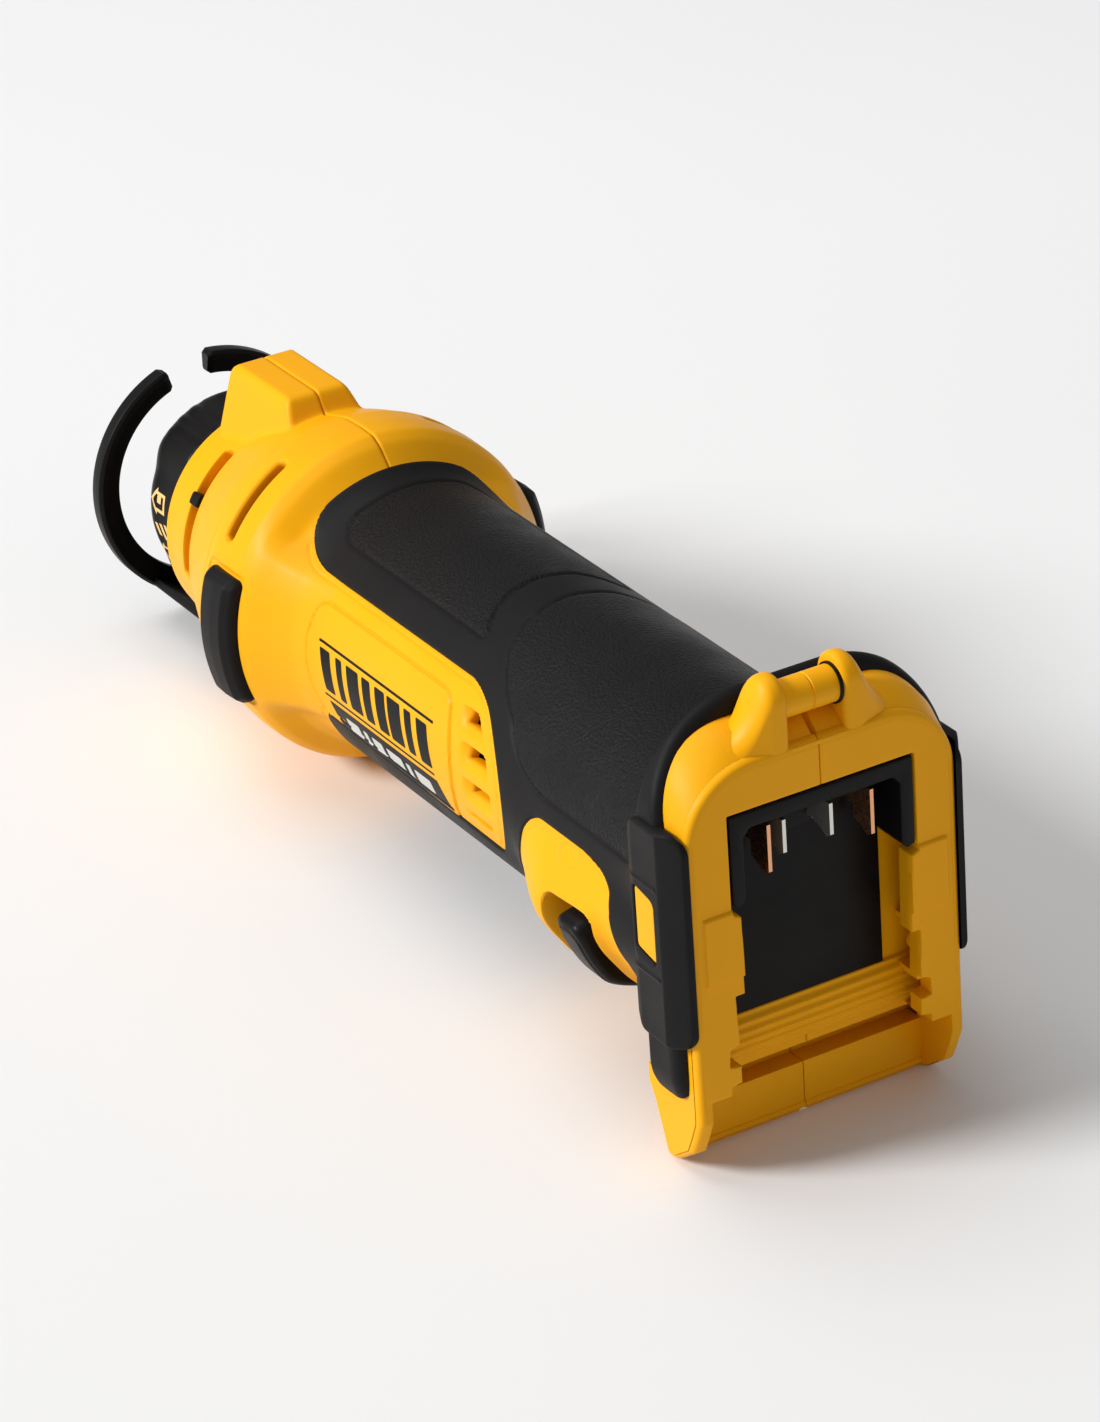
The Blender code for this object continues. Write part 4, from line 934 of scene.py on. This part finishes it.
def make_head_bumpers():
    for word, side in SIDES:
        name = "head_bumper_" + word

        def field(a, y):
            return -rounded_box(np.radians(a - 90.5) * 49.5, y, (0, 222.5), (19.4, 8.0), 2.2)

        def place(a, y, f):
            crown = table(y, ((214.5, 48.9), (217.3, 50.9), (222, 51.2), (227.4, 51.0), (230.5, 48.9)))
            end = 1.6 * smooth(np.abs(a - 90.5), 18.5, 22.5)
            return polar(a * side, crown - end - lip(f, 0.9), y)

        def back(a, y):
            return polar(a * side, 46.5 + 0 * y, y)

        skin = sheet(steps(67, 114, 0.5), steps(214.2, 230.8, 0.35), field, place, radial, [back])
        piece(name + "_pad", *skin, RUBBER, "tool", [name], "rubber")


# ---- battery terminals

def make_terminals():
    frame_top = [(25.9, 9.2), (25.9, 33.0), (-25.9, 33.0), (-25.9, 9.2), (-23.6, 8.4), (-22.2, 10.2),
                 (-22.2, 26.5), (-20.2, 28.6), (20.2, 28.6), (22.2, 26.5), (22.2, 10.2), (23.6, 8.4)]
    arch = slab(rounded_outline(frame_top, 0.8, 3), "Y", 0.7, 12.4, 0.5)
    wall = slab(rectangle(-22.6, -27.8, 22.6, 31.0), "Y", 12.1, 14.4, 0.3)
    ledge = slab(rectangle(-12.5, 17.5, 3.4, 27.0), "Y", 11.7, 12.6, 0.3)
    piece("terminal_frame", *merged(arch, wall, ledge), BLACK, "tool", ["terminal_block"], "black",
          weld=True)


# ---- slide switch

KNOB_TOP_ANGLE = 103.0
KNOB_REAR = 43.5
KNOB_FRONT = 55.5


def closed_plate(angles, ys, field, outer, inner):
    """Curved plate with a shaped outside, walls and an inside."""
    skin = sheet(angles, ys, field, lambda a, y, f: polar(a, outer(a, y, f), y), radial,
                 [lambda a, y: polar(a, inner + 0 * y, y)])
    lining = sheet(angles, ys, field, lambda a, y, f: polar(a, inner + 0 * y, y), lambda p: -radial(p))
    return merged(skin, lining)


def make_switch_knob():
    def field(a, y):
        s = np.radians(a - 180) * 45.0
        middle = (KNOB_REAR + KNOB_FRONT) / 2
        half = (KNOB_FRONT - KNOB_REAR) / 2
        return -rounded_box(s, y, (0, middle), (np.radians(180 - KNOB_TOP_ANGLE) * 45, half), 3.6)

    def outer(a, y, f):
        away = np.abs(a - 180)
        pad = rounded_box((away - 58.0) * 0.79, y, (0, 49.6), (12.5, 4.2), 3.4)
        r = 46.2 - 4.2 * (1 - smooth(away, 36, 54))
        return r + 0.2 * smooth(-pad, -0.2, 0.5) - 0.25 * np.exp(-((pad - 0.2) / 0.3) ** 2) - lip(f, 2.2)

    skin = closed_plate(steps(102, 258, 0.8), steps(43.2, 55.8, 0.35), field, outer, 34.6)
    stem = slab(rectangle(-4.2, 45.4, 4.2, 54.6), "Z", -36.5, -28.2, 0.3)
    piece("switch_knob", *merged(skin, stem), BLACK, "switch", ["switch_slider"], "black", weld=True)


# ---- collar, nose, depth foot

LOBES = rounded_table(((-10, 30.4), (0, 30.4), (20, 30.6), (48, 30.2), (62, 27.5), (90, 27.3), (118, 27.5),
                       (134, 30.2), (180, 30.4), (190, 30.4)), 3.0)


def make_collar():
    angles = steps(-180, 180, 1.5)[:-1]
    stations = [
        # y, scale on the lobes or None for the plain drum, inset or inner radius
        (262.8, None, 30.0), (263.1, None, 30.3), (286.2, None, 30.3), (286.6, 1.0, 0.6),
        (287.0, 1.0, 0.15), (287.6, 1.0, 0.0), (301.0, 1.0, 0.0), (303.2, 0.99, 0.0),
        (305.0, 0.968, 0.0), (306.6, 0.93, 0.0), (308.0, 0.885, 0.0), (308.7, 0.84, 0.0),
        (309.0, 0.79, 0.0)]
    rings = []
    for y, scale, extra in stations:
        if scale is None:
            rings.append(polar(angles, extra + 0 * angles, y))
            continue
        lobe = LOBES(np.abs(angles))
        rib = (0.5 - 0.5 * np.cos(np.radians((np.abs(angles) - 12) * 360 / 9))) ** 2
        gripped = smooth(np.abs(angles), 11, 13) * (1 - smooth(np.abs(angles), 40, 43))
        below = smooth(np.abs(angles), 137, 139) * (1 - smooth(np.abs(angles), 168, 170))
        along_y = smooth(y, 286.5, 290) * (1 - smooth(y, 303.5, 306.5))
        notch = 0.8 * rib * np.maximum(gripped, below) * along_y
        rings.append(polar(angles, lobe * scale - extra - notch, y))
    for r, y in ((17.0, 309.0), (15.6, 308.8), (15.0, 308.2), (15.0, 305.6), (22.0, 305.2), (23.0, 301.0),
                 (23.0, 278.2), (25.4, 278.0), (25.4, 265.5), (23.0, 265.3), (23.0, 262.8), (30.0, 262.8)):
        rings.append(polar(angles, r + 0 * angles, y))
    body = lofted([list(map(tuple, ring)) for ring in rings], caps=False)
    lugs = []
    for low, high in ((-61.0, -55.0), (33.0, 39.0)):
        middle, half = (low + high) / 2, math.radians((high - low) / 2) * NOSE_R

        def field(a, y):
            return -rounded_box(np.radians(a - middle) * NOSE_R, y, (0, 266.6), (half, 2.3), 0.8)

        lugs.append(closed_plate(steps(low - 1, high + 1, 0.4), steps(264, 269.3, 0.3), field,
                                 lambda a, y, f: 36.2 - lip(f, 0.5), 28.5))
    piece("twist_collar", *merged(body, *lugs), BLACK, "collar", ["locking_collar"], "black", weld=True)


SYMBOL_Y = 298.4


def collar_symbols(angle, y):
    """Distance to the printed marks on the left flat of the collar; negative is inside."""
    s = np.radians(angle + 97) * 27.4
    house = [(-3.0, -3.4), (3.0, -3.4), (3.0, 1.2), (4.3, 1.2), (0.0, 5.2), (-4.3, 1.2), (-3.0, 1.2)]
    shapes = []
    for centre, flip in ((8.6, -1), (-8.6, 1)):
        outline = polygon(y - SYMBOL_Y, (s - centre) * flip, [(b, a) for a, b in house])
        shapes.append(np.abs(outline + 0.55) - 0.5)
        shapes.append(rounded_box(y, s, (SYMBOL_Y, centre - 0.8 * flip), (1.1, 1.1), 0.2))
    for k in (-1, 0, 1):
        shapes.append(rounded_box(y - 0.5 * s, s, (SYMBOL_Y - 1.6 + 3.0 * k, 0), (0.8, 2.3 - 0.5 * k), 0.2))
    return np.minimum.reduce(shapes)


def make_symbols():
    marks = []
    for side in (-1, 1):
        def field(a, y):
            return -collar_symbols(a, y)

        def place(a, y, f):
            return polar(a * -side, LOBES(np.abs(a)) * (1 - 0.01 * smooth(y, 301, 303.2)) + 0.06, y)

        marks.append(sheet(steps(-132, -62, 0.5), steps(291, 304, 0.2), field, place, radial))
    piece("collar_symbols", *merged(*marks), PRINT_CREAM, "collar")


def make_nose():
    nose = [(237.0, 8.0), (237.0, 31.6), (241.5, 31.6), (241.5, 18.0), (252.0, 18.0), (256.0, 22.0),
            (299.6, 22.0), (300.0, 21.6), (300.0, 19.0), (256.5, 19.0), (251.0, 14.3), (240.7, 14.3),
            (240.7, 8.0), (237.0, 8.0)]
    piece("nose_casting", *turned(nose), ALLOY, "tool", ["nose_housing"], "alloy", weld=True)
    hexagon = arc((0, 0), 11.0, 0, 300, 6)
    outside = slab(rounded_outline(hexagon, 0.8, 4), "Y", 298.2, 305.4, 0.5)
    cup = [(305.42, 8.2), (305.42, 3.9), (304.9, 3.3), (302.4, 3.2)]
    piece("collet_nut", *merged(outside, turned(cup)), DARK_STEEL, "rotor", ["collet_cap"], "dark_steel",
          weld=True)
    jaws = []
    for k in range(6):
        low, high = k * 60 + 3.0, k * 60 + 57.0
        turns = np.radians(np.linspace(low, high, 9))
        rings = []
        for y, outer, inner in ((280.0, 4.0, 1.7), (298.0, 6.8, 1.7), (301.7, 6.8, 1.7), (302.0, 6.5, 1.9)):
            ring = [(outer * math.cos(t), y, outer * math.sin(t)) for t in turns]
            ring += [(inner * math.cos(t), y, inner * math.sin(t)) for t in turns[::-1]]
            rings.append(ring)
        jaws.append(lofted(rings))
    piece("collet_jaws", *merged(*jaws), STEEL, "rotor", ["collet"], "steel", weld=True)


ARM_R = 36.5
ARM_HALF_ANGLE = 40.0


def make_depth_foot():
    section = [(30.0, 317.4), (32.0, 317.0), (34.3, 316.6), (35.9, 316.0), (36.9, 316.8), (36.9, 321.0),
               (30.6, 321.0), (30.0, 320.2)]
    section = rounded_outline(section, 0.5, 4)
    middle = np.mean(section, axis=0)
    rings = []
    turns = list(np.linspace(2, 341, 170))
    for t in turns:
        end = min(t - 2, 341 - t) * math.radians(33.5)
        shrink = 1.0 if end > 0.8 else math.sqrt(max(0.0, 1 - (1 - end / 0.8) ** 2)) * 0.25 + 0.75
        ring = []
        for r, y in section:
            r, y = middle[0] + (r - middle[0]) * shrink, middle[1] + (y - middle[1]) * shrink
            a = math.radians(t)
            ring.append((r * math.sin(a), y, r * math.cos(a)))
        rings.append(ring)
    ring = lofted(rings)

    def field(a, y):
        s = np.radians(a - 180) * ARM_R
        half = math.radians(ARM_HALF_ANGLE) * ARM_R
        wide = rounded_box(s, y, (0, 290.0), (half, 28.0), 2.0)
        stem = rounded_box(s, y, (0, 270.0), (half * 0.86, 28.0), 4.0)
        return -np.minimum(wide, stem)

    def outer(a, y, f):
        s = np.radians(a - 180) * ARM_R
        across = np.abs(((s + 3.0) / 6.0) % 1 - 0.5) * 6.0
        rib = smooth(-np.maximum(across - 1.9, np.abs(y - 300.0) - 9.0), -0.2, 0.3)
        level = np.where(y < 286, 36.95, 36.6)
        return level + 0.35 * rib * (np.abs(s) < 21) - lip(f, 0.6)

    arm = closed_plate(steps(139, 221, 0.6), steps(241.5, 318.5, 0.6), field, outer, 34.5)
    piece("depth_foot_shoe", *merged(ring, arm), BLACK, "foot", ["depth_foot"], "black", weld=True)


LOCK_ANGLE = 150.0
LOCK_Y = 250.0
LOCK_SEAT = 41.3
KNURLS = 20


def make_depth_lock():
    """Thumb screw of the foot, on an axis that points away from the spindle."""
    turn = math.radians(LOCK_ANGLE)
    out = Vector((math.sin(turn), 0, math.cos(turn)))
    along_tool = Vector((0, 1, 0))
    across = along_tool.cross(out)
    seat = LOCK_SEAT
    place = along_tool * LOCK_Y
    rings = []
    profile = [(39.2, 0.4), (39.2, 2.4), (seat, 2.4), (seat, 5.6), (seat + 0.4, 6.1), (seat + 4.2, 6.3),
               (seat + 4.9, 5.7), (seat + 5.0, 4.4), (seat + 4.6, 3.9), (seat + 4.5, 0.4)]
    for h, r in profile:
        ring = []
        for k in range(120):
            a = 2 * math.pi * k / 120
            knurl = 0.28 * (0.5 + 0.5 * math.cos(KNURLS * a)) if seat + 0.2 < h < seat + 4.95 and r > 5 else 0
            turned_out = across * math.cos(a) + along_tool * math.sin(a)
            ring.append(tuple(place + out * h + turned_out * (r - knurl)))
        rings.append(ring)
    piece("depth_lock_thumb_screw", *lofted(rings), BLACK, "foot_lock", ["depth_lock_knob"], "black",
          weld=True)


def make_light():
    outline = mirrored([(5.3, 39.1), (5.9, 40.0), (5.9, 44.9), (5.0, 46.1)])
    lens = slab(rounded_outline(outline, 0.7, 4), "Y", 275.6, 278.95, 0.4)
    piece("work_light_lens", *lens, LENS, "tool", ["light_lens"], "lens", weld=True)


SCREW_PLACES = (
    # y, z, tip x, head seat x
    (10.2, 39.7, -16.0, 22.0), (18.6, -55.5, -14.0, 27.0), (30.0, 26.5, -12.0, 13.0),
    (92.0, 26.5, -12.0, 13.0), (90.0, -26.5, -12.0, 13.0), (252.0, 37.5, -10.0, 10.0),
    (240.5, -40.8, -7.0, 7.0))


def make_screws():
    for k, (y, z, tip, seat) in enumerate(SCREW_PLACES):
        top = seat + 2.6
        profile = [(tip, 0.3), (tip, 0.9), (tip + 1.6, 1.65)]
        h = tip + 2.0
        while h < seat - 2.0:
            profile += [(h, 1.45), (h + 0.5, 1.7)]
            h += 1.0
        profile += [(seat, 1.6), (seat, 3.0), (top - 0.7, 3.0), (top - 0.2, 2.7), (top, 2.2)]
        rings = []
        turns = np.linspace(0, 2 * math.pi, 48, endpoint=False)
        for x, r in profile:
            rings.append([(x, y + r * math.cos(t), z + r * math.sin(t)) for t in turns])
        for x, scale in ((top, 1.0), (top - 1.6, 0.97)):
            rings.append([(x, y + (1.55 + 0.25 * math.cos(6 * t)) * scale * math.cos(t),
                           z + (1.55 + 0.25 * math.cos(6 * t)) * scale * math.sin(t)) for t in turns])
        piece(f"torx_screw_{k + 1}", *lofted(rings), DARK_STEEL, "tool", [f"housing_screw_{k + 1}"],
              "dark_steel", weld=True)


# ---- generic graphic on the side panels

def label_black(s, y):
    """Distance to the dark print: rules, a row of slanted blocks and a stripe; negative is inside."""
    lean = y + 0.28 * (s - 56.2)
    end = y + 0.55 * (s - 69)
    shapes = [rounded_box(s, y, (48.9, 156.0), (0.4, 30.0), 0.2),
              rounded_box(s, y, (63.4, 154.5), (0.35, 29.0), 0.2),
              both(np.abs(end - 151.0) - 28.5, np.abs(s - 69.0) - 4.1, 0.4)]
    for k, wide in enumerate((2.6, 1.6, 3.2, 2.2, 2.6, 3.4, 1.8, 2.8)):
        shapes.append(both(np.abs(lean - (181.3 - 7.3 * k)) - wide, np.abs(s - 56.2) - 5.6, 0.5))
    return np.minimum.reduce(shapes)


def label_light(s, y):
    """Distance to the pale dashes inside the stripe."""
    lean = y + 0.3 * (s - 69)
    dashes = ((170.0, 3.4), (163.2, 1.2), (157.0, 2.8), (148.0, 4.0), (140.6, 1.2), (133.0, 4.2))
    return np.minimum.reduce([both(np.abs(lean - at) - wide, np.abs(s - 69.0) - 1.9, 0.5)
                              for at, wide in dashes])


def make_label():
    for name, shape, mat, lift in (("panel_graphic", label_black, PRINT_BLACK, 0.05),
                                   ("panel_graphic_dashes", label_light, PRINT_GREY, 0.09)):
        sides = []
        for side in (-1, 1):
            def field(a, y):
                return -shape(along(a), y)

            def place(a, y, f):
                return polar(a * side, housing_radius(a, y) + lift, y)

            sides.append(sheet(steps(72, 114, 0.45), steps(119, 188, 0.3), field, place, radial))
        piece(name, *merged(*sides), mat, "tool")


# ---- build

make_grip()
make_housings()
make_hang_bar()
make_rear_bumpers()
make_head_bumpers()
make_terminals()
make_switch_knob()
make_collar()
make_symbols()
make_nose()
make_depth_foot()
make_depth_lock()
make_light()
make_screws()
make_label()

FINISH_BY_NAME = {
    "housing_yellow": YELLOW, "grip_rubber": RUBBER, "black_nylon": BLACK, "steel": STEEL,
    "dark_steel": DARK_STEEL, "cast_alloy": ALLOY, "copper": COPPER, "plated_brass": SILVER,
    "brass": BRASS, "carbon": CARBON, "ferrite": FERRITE, "circuit_board": BOARD, "clear_lens": LENS,
    "enamel_wire": WINDING, "fan_nylon": FAN}
for ob in frame["nodes"].values():
    for place in ob.material_slots:
        name = place.material.name.split(".")[0]
        if name in FINISH_BY_NAME:
            place.material = FINISH_BY_NAME[name]


# ---- floor, light and camera

FLOOR_HALF = 6.0


def make_floor():
    mat, tree, bsdf = shader_material("pale_floor", (0.9, 0.9, 0.9), 0.6)
    speck = noise(tree, 3.0, 2.0)
    glossed(tree, bsdf, speck.outputs["Fac"], 0.55, 0.65)
    mesh = bpy.data.meshes.new("floor")
    corners = [(u, v, 0) for u, v in rectangle(-FLOOR_HALF, -FLOOR_HALF, FLOOR_HALF, FLOOR_HALF)]
    mesh.from_pydata(corners, [], [(0, 1, 2, 3)])
    mesh.materials.append(mat)
    linked(bpy.data.objects.new("floor", mesh))


def aimed(ob, source, target):
    ob.location = source
    ob.rotation_mode = "QUATERNION"
    ob.rotation_quaternion = (Vector(target) - Vector(source)).to_track_quat("-Z", "Y")
    return linked(ob)


def make_lights():
    """Wide sun from the left, two softboxes and an even sky."""
    middle = Vector((0, 0, 0.06))
    sun = bpy.data.lights.new("key_sun", "SUN")
    sun.energy = 3.0
    sun.angle = math.radians(18)
    aimed(bpy.data.objects.new("key_sun", sun), middle + Vector((-1.0, 0.35, 0.62)), middle)
    for name, source, size, power in (
            ("top_softbox", (-0.25, 0.45, 1.2), 1.0, 6.5), ("rear_fill", (-0.3, -1.5, 0.5), 0.8, 0.6)):
        area = bpy.data.lights.new(name, "AREA")
        area.energy = power
        area.size = size
        aimed(bpy.data.objects.new(name, area), middle + Vector(source), middle)
    world = bpy.data.worlds.new("studio")
    world.use_nodes = True
    background = world.node_tree.nodes["Background"]
    background.inputs["Color"].default_value = (1, 1, 1, 1)
    background.inputs["Strength"].default_value = 0.27
    bpy.context.scene.world = world


def make_camera():
    """Camera by its place and its axes in the tool's frame."""
    right = np.array([0.85696578, -0.51133282, -0.06440808])
    down = np.array([-0.28401455, -0.36427442, -0.88692721])
    forward = np.array([0.43005278, 0.7783591, -0.45739667])
    place = to_row([(-589.007, -935.869, 626.393)])[0]
    columns = [right @ TURN, -down @ TURN, -forward @ TURN]
    camera = bpy.data.cameras.new("camera")
    camera.sensor_width = 36.0
    camera.lens = 134.53
    camera.clip_start = 0.05
    camera.clip_end = 30.0
    ob = linked(bpy.data.objects.new("camera", camera))
    ob.matrix_world = Matrix.Translation(place) @ Matrix(columns).transposed().to_4x4()
    bpy.context.scene.camera = ob


make_floor()
make_lights()
make_camera()
bpy.context.scene.view_settings.view_transform = "Standard"
bpy.context.view_layer.update()
